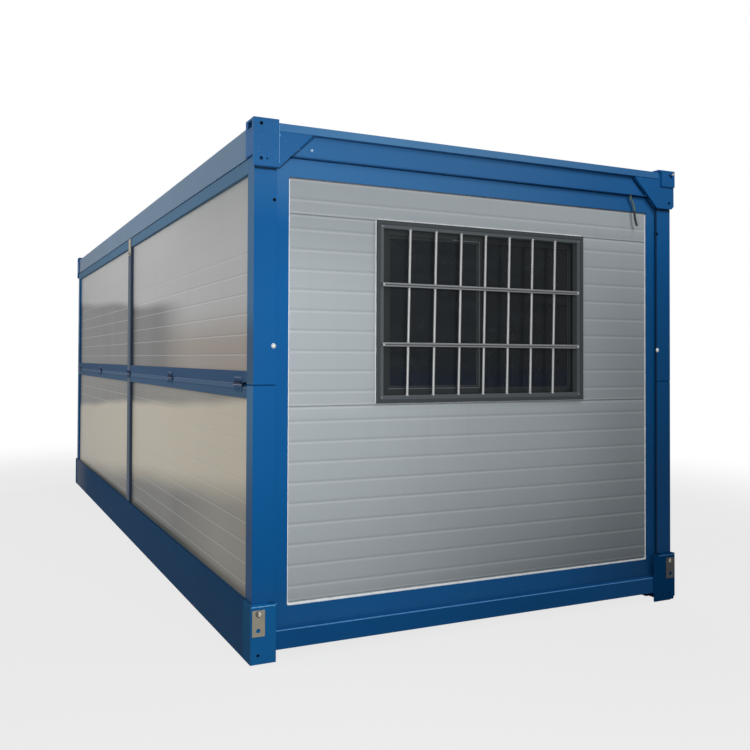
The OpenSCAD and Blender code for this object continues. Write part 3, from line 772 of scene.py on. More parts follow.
frontSheet = sheetFinish("frontSheet", sheetPaint["front"], roughness=0.5, specular=0.25, soiled=0.05,
                         lines=0.17, paintedLight=[(frontFoot, srgb(88, 98, 106)),
                                             (frontRight, srgb(88, 98, 106)),
                                             (frontTop, srgb(88, 96, 102))])
lowerSheet = sheetFinish("lowerSheet", sheetPaint["sideLow"], roughness=0.33, specular=0.25, soiled=0.04,
                         lines=0.28, joint=sheetPaint["lowerJoint"], jointed=0.3, thin=0.6,
                         paintedLight=[(lambda p: lowerReflection(p) * 0.95, srgb(96, 96, 93))],
                         shown=lambda p: 0.3 + 0.7 * lowerReflection(p))
upperSheet = sheetFinish("upperSheet", sheetPaint["sideHigh"], roughness=0.33, specular=0.25, soiled=0.04,
                         lines=0.32, joint=sheetPaint["upperJoint"], jointed=0.0, thin=0.6,
                         paintedLight=[(upperNearFoot, srgb(150, 132, 118)),
                                 (upperNearTop, srgb(120, 122, 124)),
                                 (lambda p: upperReflection(p) * 0.95, srgb(87, 88, 87))],
                         shown=lambda p: 1 - 0.9 * p.z.step(1.72, 1.92))
innerSheet = sheetFinish("innerSheet", srgb(205, 207, 205), roughness=0.5, specular=0.3, soiled=0.05)
doorSteel = sheetFinish("doorSteel", srgb(200, 202, 201), roughness=0.4, soiled=0.06)
roofSheet = sheetFinish("roofSheet", srgb(176, 180, 181), roughness=0.5, soiled=0.3)


# bare zinc steel: crystal patches, streaks of white rust and brown at the edges of the patches
def zincFinish(name, colour, brown=0.15, metallic=0.75):
    paint = Paint(name)
    flake, speck = paint.cells(60.0, "Color"), paint.noise(30.0, 5.0)
    tone = paint.mixed(speck, tuple(c * 0.72 for c in colour[:3]) + (1.0,), colour)
    stain = paint.noise(18.0, 4.0).step(0.5, 0.75) * brown
    tone = paint.mixed(stain, tone, srgb(110, 72, 48))
    shade = paint.node("ShaderNodeSeparateColor", sockets={0: flake})
    return paint.finish({"Base Color": tone, "Metallic": metallic * (1 - stain),
                         "Roughness": 0.42 + 0.16 * shade + 0.3 * stain,
                         "Normal": paint.bumped(speck, 0.2, 0.0008)})


zincPlate = zincFinish("zincPlate", srgb(164, 159, 142), brown=0.16, metallic=0.35)
# the right link plates: darker than the left ones, with heavy rust-brown stains
rustyPlate = zincFinish("rustyPlate", srgb(58, 62, 66), brown=0.7, metallic=0.4)
boltSteel = zincFinish("boltSteel", srgb(205, 206, 205), brown=0.08, metallic=0.9)
washerSteel = zincFinish("washerSteel", srgb(92, 92, 88), brown=0.3, metallic=0.3)


# small parts: a fine grain over a slow drift, and one mark where the part has it
def plainFinish(name, colour, roughness, grain=260.0, depth=0.1, metallic=0.0, bump=0.15, specular=0.5,
                mark=None):
    paint = Paint(name)
    fine, slow = paint.noise(grain, 3.0), paint.noise(4.0, 3.0)
    tone = paint.toned(colour, 0.5 * fine + 0.5 * slow, depth)
    if mark:
        tone = paint.mixed(mark[0](paint), tone, mark[1])
    return paint.finish({"Base Color": tone, "Metallic": metallic, "Roughness": roughness + 0.12 * fine,
                         "Specular IOR Level": specular, "Normal": paint.bumped(fine, bump, 0.0006)})


def innerFlange(p):  # the part of the window frame more than 19 mm in from its outer edge
    low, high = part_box("window_frame")
    beyond = ((p.x - (low[0] + high[0]) / 2).size() - (high[0] - low[0]) / 2).larger(
        (p.z - (low[2] + high[2]) / 2).size() - (high[2] - low[2]) / 2)
    return 1 - beyond.step(-0.0200, -0.0185)


def darkTop(p):  # painted shade on the bead along the top of the end wall's panel
    return p.z.step(2.146, 2.149) * (0.7 + 0.3 * p.noise(60.0, 2.0))


# the web bolts' pale blue is a painted highlight on their paint
boltHighlight = plainFinish("boltHighlight", srgb(168, 200, 230), 0.4, grain=200.0, depth=0.12, specular=0.3)
# the link bolts' heads are darkened on their outer side, a painted shade
linkBolt = plainFinish("linkBolt", srgb(226, 222, 208), 0.4, grain=300.0, depth=0.12, bump=0.2,
                       mark=(lambda p: past(p.x.size(), 1.2115, 0.004) * 0.9, srgb(84, 74, 58)))
latchPlate = plainFinish("latchPlate", srgb(196, 184, 164), 0.45, grain=160.0, depth=0.12)
frameAluminium = plainFinish("frameAluminium", srgb(58, 64, 68), 0.5, grain=500.0, specular=0.25,
                             mark=(innerFlange, srgb(82, 89, 93)))
beadAluminium = plainFinish("beadAluminium", srgb(96, 104, 110), 0.4, grain=500.0, metallic=0.3, bump=0.1)
sashAluminium = plainFinish("sashAluminium", srgb(28, 33, 35), 0.45, grain=500.0, depth=0.15, specular=0.25)
capPlastic = plainFinish("capPlastic", srgb(150, 153, 153), 0.5, grain=300.0, depth=0.05)
sealantFinish = plainFinish("sealant", srgb(246, 249, 250), 0.55, grain=120.0, depth=0.06, bump=0.3,
                            specular=0.3, mark=(darkTop, srgb(62, 58, 58)))
# the fold lip's pale blue is a painted highlight along the fold
litLipPaint = plainFinish("litLipPaint", srgb(120, 144, 178), 0.5, grain=200.0, depth=0.25, specular=0.1)
# the knuckles' dark navy is painted shade; the pale line along their lower side is worn metal with a painted
# highlight
wornShadedKnuckle = plainFinish("wornShadedKnuckle", srgb(30, 40, 68), 0.5, depth=0.20, specular=0.1,
                          mark=(lambda p: strip(p.z, foldHeight - 0.0030, 0.0022), srgb(178, 182, 214)))
blackRubber = plainFinish("blackRubber", srgb(26, 27, 29), 0.7, depth=0.25)
foldRubber = plainFinish("foldRubber", srgb(10, 24, 40), 0.8, depth=0.2, specular=0.0)
# the dark blue of the strips behind the posts' cut is painted shade
gapShade = plainFinish("gapShade", srgb(8, 62, 108), 0.7, specular=0.0)


# brushed metal: a noise stretched along one axis
def brushedFinish(name, colour, along, roughness, metallic=1.0, mark=None):
    paint = Paint(name)
    stretch = tuple(0.03 if k == along else 1.0 for k in range(3))
    lines = paint.noise(600.0, 3.0, stretch)
    tone = paint.toned(colour, lines, 0.12)
    if mark:
        tone = paint.mixed(mark[0](paint), tone, mark[1])
    return paint.finish({"Base Color": tone, "Metallic": metallic, "Roughness": roughness + 0.15 * lines,
                         "Normal": paint.bumped(lines, 0.12, 0.0003)})


def flatBarCreaseShade(p):  # painted shade in the folded crease along the middle of each flat bar
    return strip(p.z, 1.4055, 0.0024) + strip(p.z, 1.6895, 0.0024)


barSteel = brushedFinish("barSteel", srgb(172, 174, 174), 2, 0.40, metallic=0.45)
flatBarSteel = brushedFinish("flatBarSteel", srgb(128, 131, 134), 0, 0.42, metallic=0.4,
                             mark=(flatBarCreaseShade, srgb(52, 56, 60)))
handleMetal = brushedFinish("handleMetal", srgb(196, 196, 194), 0, 0.25)


# dark glass: a slow drift in tone, a bluish band near its foot that is a painted reflection, and a little
# dirt, which hides more
def glassFinish():
    paint = Paint("windowGlass")
    drift = paint.noise(5.0, 2.0, (0.4, 1.0, 6.0))
    dirt = paint.noise(30.0, 4.0).step(0.5, 0.8)
    tone = paint.mixed(drift, srgb(26, 31, 34), srgb(47, 51, 54))
    band = between(paint.z, (1.185, 1.205), (1.275, 1.295))
    tone = paint.mixed(band * 0.4, tone, srgb(20, 32, 54))
    return paint.finish({"Base Color": tone, "Roughness": 0.30 + 0.12 * dirt, "Alpha": 0.84 + 0.12 * dirt,
                         "Specular IOR Level": 0.10})


# boards across the house, with a dark joint between them and a grain along them
def boardFinish(name, colour, width, roughness=0.6):
    paint = Paint(name)
    joint = ((paint.y % width) - width / 2).size().step(width / 2 - 0.004, width / 2 - 0.001)
    grain = paint.noise(30.0, 5.0, (0.08, 1.0, 1.0))
    board = (paint.y / width).whole()
    own = paint.node("ShaderNodeTexWhiteNoise", {"noise_dimensions": "1D"}, {"W": board + 0.5})
    tone = paint.toned(colour, 0.6 * grain + 0.4 * own, 0.22)
    tone = paint.mixed(joint * 0.7, tone, srgb(50, 46, 42))
    return paint.finish({"Base Color": tone, "Roughness": roughness + 0.15 * grain,
                         "Normal": paint.bumped(grain - 2.0 * joint, 0.3, 0.001)})


windowGlass = glassFinish()
ceilingSheet = boardFinish("ceilingSheet", srgb(216, 217, 214), 0.3, 0.5)
floorBoards = boardFinish("floorBoards", srgb(146, 132, 112), 0.2)
print("finishes ready")

# steel parts keep their CAD shape: a merged copy stands in for each, with its edges rounded off
softEdge = {"width": 0.0013, "steps": 2, "from": 35}
steelParts = (
    (bluePaint, shell, ("door_frame", "back_wall_hinge_sleeves", "end_wall_hinge_brackets", "floor_joists")),
    (wallPaint, shell, ("back_wall_frame",)),
    (postPaint, shell, ("front_left_post", "front_right_post", "back_left_post", "back_right_post")),
    (cornerPaint, shell, ("roof_corner_blocks", "roof_corner_plates", "roof_gussets")),
    (beamPaint, shell, ("roof_end_beams",)),
    (wallPaint, swing, ("front_wall_frame", "front_wall_hinge_sleeves")),
    (railPaint, shell, ("left_wall_upper_frame", "left_wall_lower_frame",
                        "right_wall_upper_frame", "right_wall_lower_frame")),
    (roofPaint, shell, ("roof_side_beam_left", "roof_side_beam_right")),
    (basePaint, shell, ("base_side_beam_left", "base_side_beam_right")),
    (sillPaint, shell, ("base_end_beams",)),
    (footPaint, shell, ("corner_feet",)),
)


def softened(node, finish, body=shell, width=softEdge["width"]):
    work = bmesh.new()
    work.from_mesh(nodes[node].data)
    bmesh.ops.remove_doubles(work, verts=work.verts, dist=1e-5)
    bmesh.ops.dissolve_limit(work, angle_limit=math.radians(1), verts=work.verts, edges=work.edges)
    mesh = bpy.data.meshes.new(node + "_steel")
    work.to_mesh(mesh)
    work.free()
    made = dress(mesh, node + "_steel", body, finish, [node])
    edges = made.modifiers.new("softEdge", "BEVEL")
    edges.width, edges.segments = width, softEdge["steps"]
    edges.limit_method, edges.angle_limit = "ANGLE", math.radians(softEdge["from"])
    edges.use_clamp_overlap, edges.harden_normals = True, True


def repaint(node, finish):
    data = nodes[node].data
    data.materials.clear()
    data.materials.append(finish)


for finish, body, names in steelParts:
    for name in names:
        softened(name, finish, body)
softened("roof_deck", roofSheet, width=0.0008)
softened("door", doorSteel)
softened("door_handle", handleMetal, width=0.002)
repaint("floor_board", floorBoards)
repaint("ceiling_board", ceilingSheet)
repaint("window_glass", windowGlass)
print("steel parts softened")

# grooved sandwich panels; relief is the share of a groove's and of a joint's depth
grooves = {
    "perBoard": 9,
    "width": 0.0150,
    "depth": 0.0009,
    "jointWidth": 0.0060,
    "jointDepth": 0.0045,
    "endRelief": (1.0, 1.0),
    "sideRelief": (0.40, 0.12),
}


# depth of the outer face at a height: a bell curve round each groove, and a deeper one round each joint
def grooveHeights(low, high, firstJoint, relief):
    g, s = grooves, sheetPaint
    joints = firstJoint + s["boardRise"] * np.arange(-4, 5)
    lines = (joints[:, None] + s["margin"] + s["pitch"] * np.arange(g["perBoard"])[None, :]).ravel()
    across = np.linspace(-0.62, 0.62, 7)
    at = np.concatenate([lines[:, None] + g["width"] * across, joints[:, None] + g["jointWidth"] * across])
    at = np.sort(np.concatenate([[low, high], at[(at > low + 0.0005) & (at < high - 0.0005)]]))

    def bell(centres, width, depth):
        return depth * np.exp(-((at[:, None] - centres[None, :]) / (width * 0.28)) ** 2).sum(1)

    return at, (bell(lines, g["width"], g["depth"] * relief[0])
                + bell(joints, g["jointWidth"], g["jointDepth"] * relief[1]))


# a slab whose outer face is the function above over (along, up), with an optional rectangular hole: cells
# inside the hole are left out, and a rim joins the two faces wherever a kept cell meets a left-out one
def groovedSlab(along, heights, faces, firstJoint, relief, hole=None):
    up, depth = grooveHeights(heights[0], heights[1], firstJoint, relief)
    if hole:
        holed = np.sort(np.concatenate([up, hole[1]]))
        up, depth = holed, np.interp(holed, up, depth)
        along = np.sort(np.concatenate([along, hole[0]]))
    outward = np.sign(faces[0] - faces[1])
    a, z = np.meshgrid(along, up, indexing="ij")
    outer = np.stack([a, faces[0] - outward * np.broadcast_to(depth, a.shape), z], -1)
    inner = np.stack([a, np.full(a.shape, faces[1]), z], -1)
    rows, across = a.shape
    cells = gridQuads(rows, across).reshape(rows - 1, across - 1, 4)
    kept = np.ones((rows - 1, across - 1), bool)
    if hole:
        midA, midZ = (along[1:] + along[:-1]) / 2, (up[1:] + up[:-1]) / 2
        insideA = (midA > hole[0][0]) & (midA < hole[0][1])
        insideZ = (midZ > hole[1][0]) & (midZ < hole[1][1])
        kept = ~(insideA[:, None] & insideZ[None, :])
    size = rows * across
    padded = np.pad(kept, 1)
    index = np.arange(size).reshape(rows, across)
    i, j = np.nonzero(padded[:, 1:-1] != np.roll(padded, -1, 0)[:, 1:-1])  # rim edges that run up
    i, j = i[i < rows], j[i < rows]
    rise = np.stack([index[i, j], index[i, j + 1], index[i, j + 1] + size, index[i, j] + size], -1)
    i, j = np.nonzero(padded[1:-1] != np.roll(padded, -1, 1)[1:-1])  # and those that run along
    i, j = i[j < across], j[j < across]
    run = np.stack([index[i, j], index[i + 1, j], index[i + 1, j] + size, index[i, j] + size], -1)
    flat = cells[kept]
    blocks = [flat, flat + size, rise, run]
    points = np.concatenate([outer.reshape(-1, 3), inner.reshape(-1, 3)])
    used, small = np.unique(np.concatenate([block.ravel() for block in blocks]), return_inverse=True)
    sizes = np.cumsum([block.size for block in blocks])[:-1]
    return points[used], [part.reshape(-1, 4) for part in np.split(small.ravel(), sizes)]


# turns (along, depth, up) into (x, y, z) for a wall that runs along y
def sideways(points):
    return points[:, [1, 0, 2]]


def innerSkin(made, test):  # the faces whose normals pass the test get the inner sheet
    made.data.materials.append(innerSheet)
    normals = np.zeros(len(made.data.polygons) * 3, np.float32)
    made.data.polygons.foreach_get("normal", normals)
    index = np.where(test(normals.reshape(-1, 3)), 1, 0).astype(np.int32)
    made.data.polygons.foreach_set("material_index", index)


def frontPanel():
    low, high = boxOf("front_wall_panel")
    windowLow, windowHigh = boxOf("window_frame")
    hole = ((windowLow[0], windowHigh[0]), (windowLow[2], windowHigh[2]))
    piece = Piece()
    piece.add(groovedSlab(np.linspace(low[0], high[0], 9), (low[2], high[2]), (low[1], high[1]),
                          sheetPaint["frontJoint"], grooves["endRelief"], hole))
    made = piece.make("front_wall_grooved_panel", swing, frontSheet, "sandwich_panel",
                      ["front_wall_panel"], 50)
    innerSkin(made, lambda normals: normals[:, 1] > 0.9)


def backPanels():
    low, high = boxOf("back_wall_panels")
    doorLow, doorHigh = boxOf("door_frame")
    piece = Piece()
    for ends in ((low[0], doorLow[0]), (doorHigh[0], high[0])):
        piece.add(groovedSlab(np.linspace(*ends, 3), (low[2], high[2]), (high[1], low[1]),
                              sheetPaint["frontJoint"], grooves["endRelief"]))
    made = piece.make("back_wall_grooved_panels", shell, frontSheet, "sandwich_panel",
                      ["back_wall_panels"], 50)
    innerSkin(made, lambda normals: normals[:, 1] < -0.9)


def longPanels(side):
    inward = 1 if side == "left" else -1
    for half, finish in (("upper", upperSheet), ("lower", lowerSheet)):
        node = f"{side}_wall_{half}_panels"
        low, high = boxOf(node)
        mid = mullion["width"] / 2
        faces = (low[0], high[0])[::inward]
        piece = Piece()
        for ends in ((low[1], -mid), (mid, high[1])):
            piece.add(groovedSlab(np.linspace(*ends, 5), (low[2], high[2]), faces, sheetPaint[half + "Joint"],
                                  grooves["sideRelief"]), sideways)
        made = piece.make(f"{side}_wall_{half}_grooved", shell, finish, "sandwich_panel", [node], 50)
        innerSkin(made, lambda normals: normals[:, 0] * inward > 0.9)


frontPanel()
backPanels()
longPanels("left")
longPanels("right")
print("panels grooved")

# the window: a stepped frame, two sashes, upright round bars and two flat bars. A profile's numbers are in
# from the outer edge and back from the face
window = {
    "frameProfile": [(0.0, 0.0012), (0.0012, 0.0), (0.0176, 0.0), (0.0190, 0.0014), (0.0196, 0.0040),
                     (0.0355, 0.0040), (0.0380, 0.0062), (0.0380, 0.0640), (0.0360, 0.0660), (0.0014, 0.0660),
                     (0.0, 0.0646)],
    "sashProfile": [(0.0, 0.0012), (0.0012, 0.0), (0.0205, 0.0), (0.0222, 0.0018), (0.0228, 0.0036),
                    (0.0300, 0.0046), (0.0320, 0.0066), (0.0320, 0.0114), (0.0300, 0.0134), (0.0228, 0.0144),
                    (0.0222, 0.0162), (0.0205, 0.0180), (0.0012, 0.0180), (0.0, 0.0168)],
    "sashDeep": 0.018,
    "meeting": 0.030,         # how far the two sashes overlap
    "nearShorter": 0.016,     # the near sash is narrower than the far one
    "nearFace": 0.0285,       # and its stiles are wider
    "beadRadius": 0.0015,
    "beadBack": 0.0022,
    "beadTopLong": 0.16,
    "face": 0.038,            # the frame's own width
    "bars": 7,
    "barRadius": 0.0064,
    "barDepth": 0.037,
    "barLean": 0.016,         # the bars' feet stand this far left of their tops
    "collarProfile": [(0.0086, -0.001), (0.0086, 0.0016), (0.0070, 0.0034)],
    "flatBarHeights": (1.406, 1.690),
    "flatBarHigh": 0.0195,
    "flatBarDeep": (0.0185, 0.0285),
    "flatBarOver": (0.014, 0.002),
    "creaseHigh": 0.0032,
    "creaseDeep": 0.0034,
    "screwProfile": [(0.0046, -0.004), (0.0046, 0.0006), (0.0036, 0.0018), (0.0016, 0.0022)],
    "screwIn": 0.008,
    "capProfile": [(0.0042, -0.001), (0.0042, 0.0008), (0.00336, 0.0022), (0.00126, 0.0028)],
    "capIn": 0.0285,
    "capDeep": 0.004,
}


def makeFrameAndSashes(w):
    low, high = boxOf("window_frame")
    outer = Piece()
    outer.add(mitred((low[0], high[0]), (low[2], high[2]), low[1], w["frameProfile"]))
    outer.make("window_frame_profile", swing, frameAluminium, "window_aluminium", ["window_frame"], 25)

    low, high = boxOf("window_sashes")
    zs = (low[2], high[2])
    farWide = (high[0] - low[0] + w["meeting"]) / 2
    nearWide = farWide - w["nearShorter"]
    wider = np.array(w["sashProfile"]) * (w["nearFace"] / w["sashProfile"][2][0], 1)
    sashes = Piece()
    sashes.add(mitred((low[0], low[0] + nearWide), zs, low[1], wider))
    sashes.add(mitred((high[0] - farWide, high[0]), zs, high[1] - w["sashDeep"], w["sashProfile"]))
    sashes.make("window_sash_profiles", swing, sashAluminium, "window_aluminium", ["window_sashes"], 25)

    beading = Piece()  # the near sash's glazing beads catch the light as thin lines
    face, y = wider[3][0], low[1] + w["beadBack"]
    left, right, foot, top = low[0] + face, low[0] + nearWide - face, low[2] + face, high[2] - face
    for start, end in (((left, y, foot), (right, y, foot)),
                       ((right, y, foot), (right, y, top)),
                       ((right - w["beadTopLong"], y, top), (right, y, top))):
        beading.add(swept(np.linspace(start, end, 3), roundSection(w["beadRadius"], steps=8), up=(0, 1, 0)))
    beading.make("window_sash_beading", swing, beadAluminium, "window_aluminium")


def makeUprightBars(w):
    low, high = boxOf("window_frame")
    y = lowest[1] + w["barDepth"]
    foot, top = low[2] + w["face"], high[2] - w["face"]
    bars = Piece()
    for x in np.linspace(low[0] + w["face"], high[0] - w["face"], w["bars"] + 2)[1:-1]:
        path = np.linspace((x - w["barLean"], y, foot - 0.004), (x, y, top + 0.004), 3)
        bars.add(swept(path, roundSection(w["barRadius"], steps=20), up=(0, 1, 0)))
        bars.add(turned(w["collarProfile"], (x - w["barLean"], y, foot), (0, 0, 1), 20))
        bars.add(turned(w["collarProfile"], (x, y, top), (0, 0, -1), 20))
    bars.make("window_upright_bars", swing, barSteel, "window_aluminium")


def makeFlatBars(w):
    low, high = boxOf("window_frame")
    near, far = (lowest[1] + deep for deep in w["flatBarDeep"])
    half, deep, crease = w["flatBarHigh"] / 2, (far - near) / 2, w["creaseHigh"]
    corners = [(-deep, -half), (deep, -half), (deep, half), (-deep, half), (-deep, crease),
               (w["creaseDeep"] - deep, 0.0), (-deep, -crease)]
    section = rounded(corners, (0.003, 0.003, 0.003, 0.003, 0.0012, 0.0008, 0.0012), 4)
    middle = (near + far) / 2
    start = low[0] + w["face"] - w["flatBarOver"][0]
    end = high[0] - w["face"] + w["flatBarOver"][1]
    flats, screws = Piece(), Piece()
    for z in w["flatBarHeights"]:
        flats.add(swept([(start, middle, z), (0.0, middle, z), (end, middle, z)], section))
        for x in (start + w["screwIn"], end - w["screwIn"]):
            screws.add(turned(w["screwProfile"], (x, near, z), steps=18))
    flats.make("window_flat_bars", swing, flatBarSteel, "window_aluminium", crease=40)
    screws.make("window_bar_screws", swing, boltSteel)


def makeCornerCaps(w):
    low, high = boxOf("window_frame")
    caps = Piece()
    for x in (low[0] + w["capIn"], high[0] - w["capIn"]):
        for z in (low[2] + w["capIn"], high[2] - w["capIn"]):
            caps.add(turned(w["capProfile"], (x, low[1] + w["capDeep"], z), steps=20))
    caps.make("window_corner_caps", swing, capPlastic)


makeFrameAndSashes(window)
makeUprightBars(window)
makeFlatBars(window)
makeCornerCaps(window)
print("window made,", window["bars"], "upright bars")

# sealant: uneven beads round the window and the end panels
beads = {"step": 0.013, "window": 0.0036, "panel": 0.0046, "wobble": 0.16, "panelIn": 0.002}


# 1 at an edge, falling in a straight line to 0 at the reach away from it
def nearEdge(distance, reach=0.02):
    return np.clip((reach - distance) / reach, 0, 1)


# a bead is an ellipse carried round a rectangle; its size wobbles, and it is fuller where "heavier" says so
def sealBead(low, high, outward, face, size, heavier=None, start=0.0):
    xs, zs = (low[0] - outward, high[0] + outward), (low[2] - outward, high[2] + outward)
    path = loopPath(xs, zs, face, beads["step"])
    grow = wobble(len(path), beads["wobble"], start=start)
    if heavier:
        grow = grow * heavier(path)
    return swept(path, roundSection(size, size * 0.8, 8), up=(0, 1, 0), grow=grow, loop=True)


def makeSealant():
    low, high = boxOf("window_frame")
    panelLow, panelHigh = boxOf("front_wall_panel")

    def aboveWindow(path):  # fuller along the top, where the joint shows
        return 0.75 + 0.55 * nearEdge(high[2] - path[:, 2])

    def roundPanel(path):  # fuller at the foot, most on the left, and a little fuller up the sides
        return (0.62 + 0.25 * nearEdge(path[:, 0] - panelLow[0]) + 0.4 * nearEdge(panelHigh[0] - path[:, 0])
                + (0.95 - 0.25 * path[:, 0]) * nearEdge(path[:, 2] - panelLow[2]))

    windowBead = Piece()
    windowBead.add(sealBead(low, high, 0.001, panelLow[1] - 0.001, beads["window"], aboveWindow))
    windowBead.make("window_sealant", swing, sealantFinish, crease=60)
    edgeBead = Piece()
    edgeBead.add(sealBead(panelLow, panelHigh, -beads["panelIn"], panelLow[1] + 0.0005, beads["panel"],
                          roundPanel, 11.0))
    edgeBead.make("front_panel_sealant", swing, sealantFinish, crease=60)
    backLow, backHigh = boxOf("back_wall_panels")
    doorLow, doorHigh = boxOf("door_frame")
    backBead = Piece()
    for left, right in ((backLow[0], doorLow[0]), (doorHigh[0], backHigh[0])):
        backBead.add(sealBead((left, 0, backLow[2]), (right, 0, backHigh[2]), -beads["panelIn"],
                              backHigh[1] - 0.0005, beads["panel"], start=5.0))
    backBead.make("back_panel_sealant", shell, sealantFinish, crease=60)


# strips at the posts, in corner measures: a lip seal down each left post, where its flange meets the end
# wall's stile, and a thin dark blue strip behind each post's cut, painted shade, so that no daylight shows
# through the fold
postStrips = {
    "sealAt": (0.1192, 0.0310),
    "sealSection": (0.0030, 0.0024),
    "sealEndsIn": 0.012,
    "cut": (foldHeight - 0.0035, foldHeight + 0.0035),
    "endStrip": {"wide": (0.0125, 0.1180), "deep": (0.0260, 0.0284)},
    "sideStrip": {"wide": (0.0300, 0.1300), "deep": (0.0130, 0.0154)},
}


def makePostSeals(s):
    low, high = boxOf("front_wall_frame")
    path = [(*s["sealAt"], z) for z in (low[2] + s["sealEndsIn"], 1.2, high[2] - s["sealEndsIn"])]
    strips = Piece()
    strips.atCorners(swept(path, roundSection(*s["sealSection"], 10), up=(0, 1, 0)), leftCorners)
    strips.make("post_lip_seals", shell, bluePaint, "blue_steel")


def makeFoldStrips(s):
    strips = Piece()
    for plane, look in (((0, 2), s["endStrip"]), ((1, 2), s["sideStrip"])):
        strips.atCorners(plate(rectangle(look["wide"], s["cut"]), look["deep"], 0.0004, plane), allCorners)
    strips.make("post_fold_strips", shell, gapShade, "blue_steel")


makeSealant()
makePostSeals(postStrips)
makeFoldStrips(postStrips)
print("sealant laid")

# bolts, as turned parts; places are in corner measures
bolt = {
    "washer": 0.0115,
    "washerThick": 0.0016,
    "hex": 0.0085,
    "hexHigh": 0.0060,
    "dome": 0.0100,
    "domeHigh": 0.0055,
    "postAt": (0.108, 0.025, 1.393),
    "webAt": (0.2878, 0.025, 2.2846),
}


# a domed head: a low rim, then a quarter ellipse whose radius and height are cosine and sine of the angle
def domeBolt(centre, axis=(0, -1, 0), size=1.0):
    r, h = bolt["dome"] * size, bolt["domeHigh"] * size
    angle = np.linspace(0, math.pi / 2 * 0.92, 7)[1:]
    rim = [(r * 1.12, -0.001), (r * 1.12, 0.0012), (r, 0.0014)]
    dome = np.stack([r * np.cos(angle), 0.0014 + h * np.sin(angle)], -1)
    return turned(np.vstack([rim, dome]), centre, axis, 24)


# a thin washer, and a head on it whose outline is a hexagon
def hexBolt(centre, size=1.0, high=None):
    r, h = bolt["hex"] * size, high or bolt["hexHigh"] * size
    rim, thick = bolt["washer"] * size, bolt["washerThick"]
    washer = turned([(rim, -0.0005), (rim, thick * 0.8), (rim * 0.96, thick)], centre, steps=24)
    wide = r / math.cos(math.pi / 6)
    profile = [(wide, thick), (wide, h * 0.82 + thick), (r * 0.96, h + thick), (r * 0.5, h + thick)]
    return washer, turned(profile, centre, steps=24, flat=r)


def makePostBolts(b):
    posts, webs = Piece(), Piece()
    posts.atCorners(domeBolt(b["postAt"]), allCorners)
    webs.atCorners(domeBolt(b["webAt"], size=0.62), leftCorners)
    posts.make("post_bolts", shell, boltSteel, crease=28)
    webs.make("web_bolts", shell, boltHighlight, crease=28)


# link plates: thinner than the foot's setback, so that the bolt heads end in the end plane
linkPlate = {
    "wide": (0.008, 0.067),
    "high": (0.121, 0.236),
    "deep": (0.0030, 0.0060),
    "hole": (0.036, 0.147),
    "holeRadius": 0.0095,
    "boltAt": (0.038, 0.0029, 0.220),
    "boltSize": 1.3,
    "headHigh": 0.0011,
}


# a plate with a round hole: rings run from the outline, bevelled, to the hole's edge and back through it;
# the hole's points lie on a circle, each in line with its point on the outline
def holedPlate(xs, zs, deep, centre, radius, corner=0.002, bevel=0.0006):
    edge = alongOutline(rounded(rectangle(xs, zs), corner, 5), 96)
    centre = np.array(centre)
    angle = np.arctan2(edge[:, 1] - centre[1], edge[:, 0] - centre[0])
    circle = np.stack([np.cos(angle), np.sin(angle)], -1)
    hole, wider = centre + circle * radius, centre + circle * (radius + bevel)
    front, back = deep
    rings = [(edge, back), (edge, front + bevel), (inset(edge, bevel), front), (wider, front),
             (hole, front + bevel), (hole, back)]
    points = np.stack([np.stack([flat[:, 0], np.full(len(flat), y), flat[:, 1]], -1) for flat, y in rings])
    return points.reshape(-1, 3), [gridQuads(len(rings), len(edge), True, True)]


def makeLinkPlates(p):
    shape = holedPlate(p["wide"], p["high"], p["deep"], p["hole"], p["holeRadius"])
    left, right, washers, heads = Piece(), Piece(), Piece(), Piece()
    left.atCorners(shape, leftCorners)
    right.atCorners(shape, rightCorners)
    washer, head = hexBolt(p["boltAt"], p["boltSize"], p["headHigh"])
    washers.atCorners(washer, allCorners)
    heads.atCorners(head, allCorners)
    left.make("foot_link_plates_left", shell, zincPlate, "bare_steel", ["foot_link_plates"], 30)
    right.make("foot_link_plates_right", shell, rustyPlate, "bare_steel", ["foot_link_plates"], 30)
    washers.make("foot_link_washers", shell, washerSteel, crease=28)
    heads.make("foot_link_bolts", shell, linkBolt, crease=28)


makePostBolts(bolt)
makeLinkPlates(linkPlate)
print("bolts placed")

# welds, in corner measures: lines have a start, an end and a radius, and spots a place and a radius
weld = {
    "ripple": 0.22,
    "pitch": 0.004,
    "gussetLines": [((0.127, 0.0135, 2.1965), (0.160, 0.0135, 2.2265), 0.003),
                    ((0.226, 0.0135, 2.2875), (0.283, 0.0135, 2.3405), 0.003)],
    "rightBlockLines": [((0.0985, 0.0075, 2.314), (0.0985, 0.0075, 2.386), 0.0026),
                        ((0.006, 0.0075, 2.3085), (0.094, 0.0075, 2.3085), 0.0026)],
    "leftPlateLines": [((0.1215, 0.0075, 2.205), (0.1215, 0.0075, 2.385), 0.0036)],
    "leftSpots": [((0.1235, 0.0065, 2.332), 0.0062), ((0.2045, 0.0165, 2.272), 0.0048),
                  ((0.2185, 0.0165, 2.2835), 0.0056), ((0.2335, 0.0165, 2.2985), 0.0044),
                  ((0.1185, 0.0125, 0.252), 0.0060)],
    "footLines": [((0.002, 0.0062, 0.2495), (0.117, 0.0062, 0.2495), 0.0026)],
}


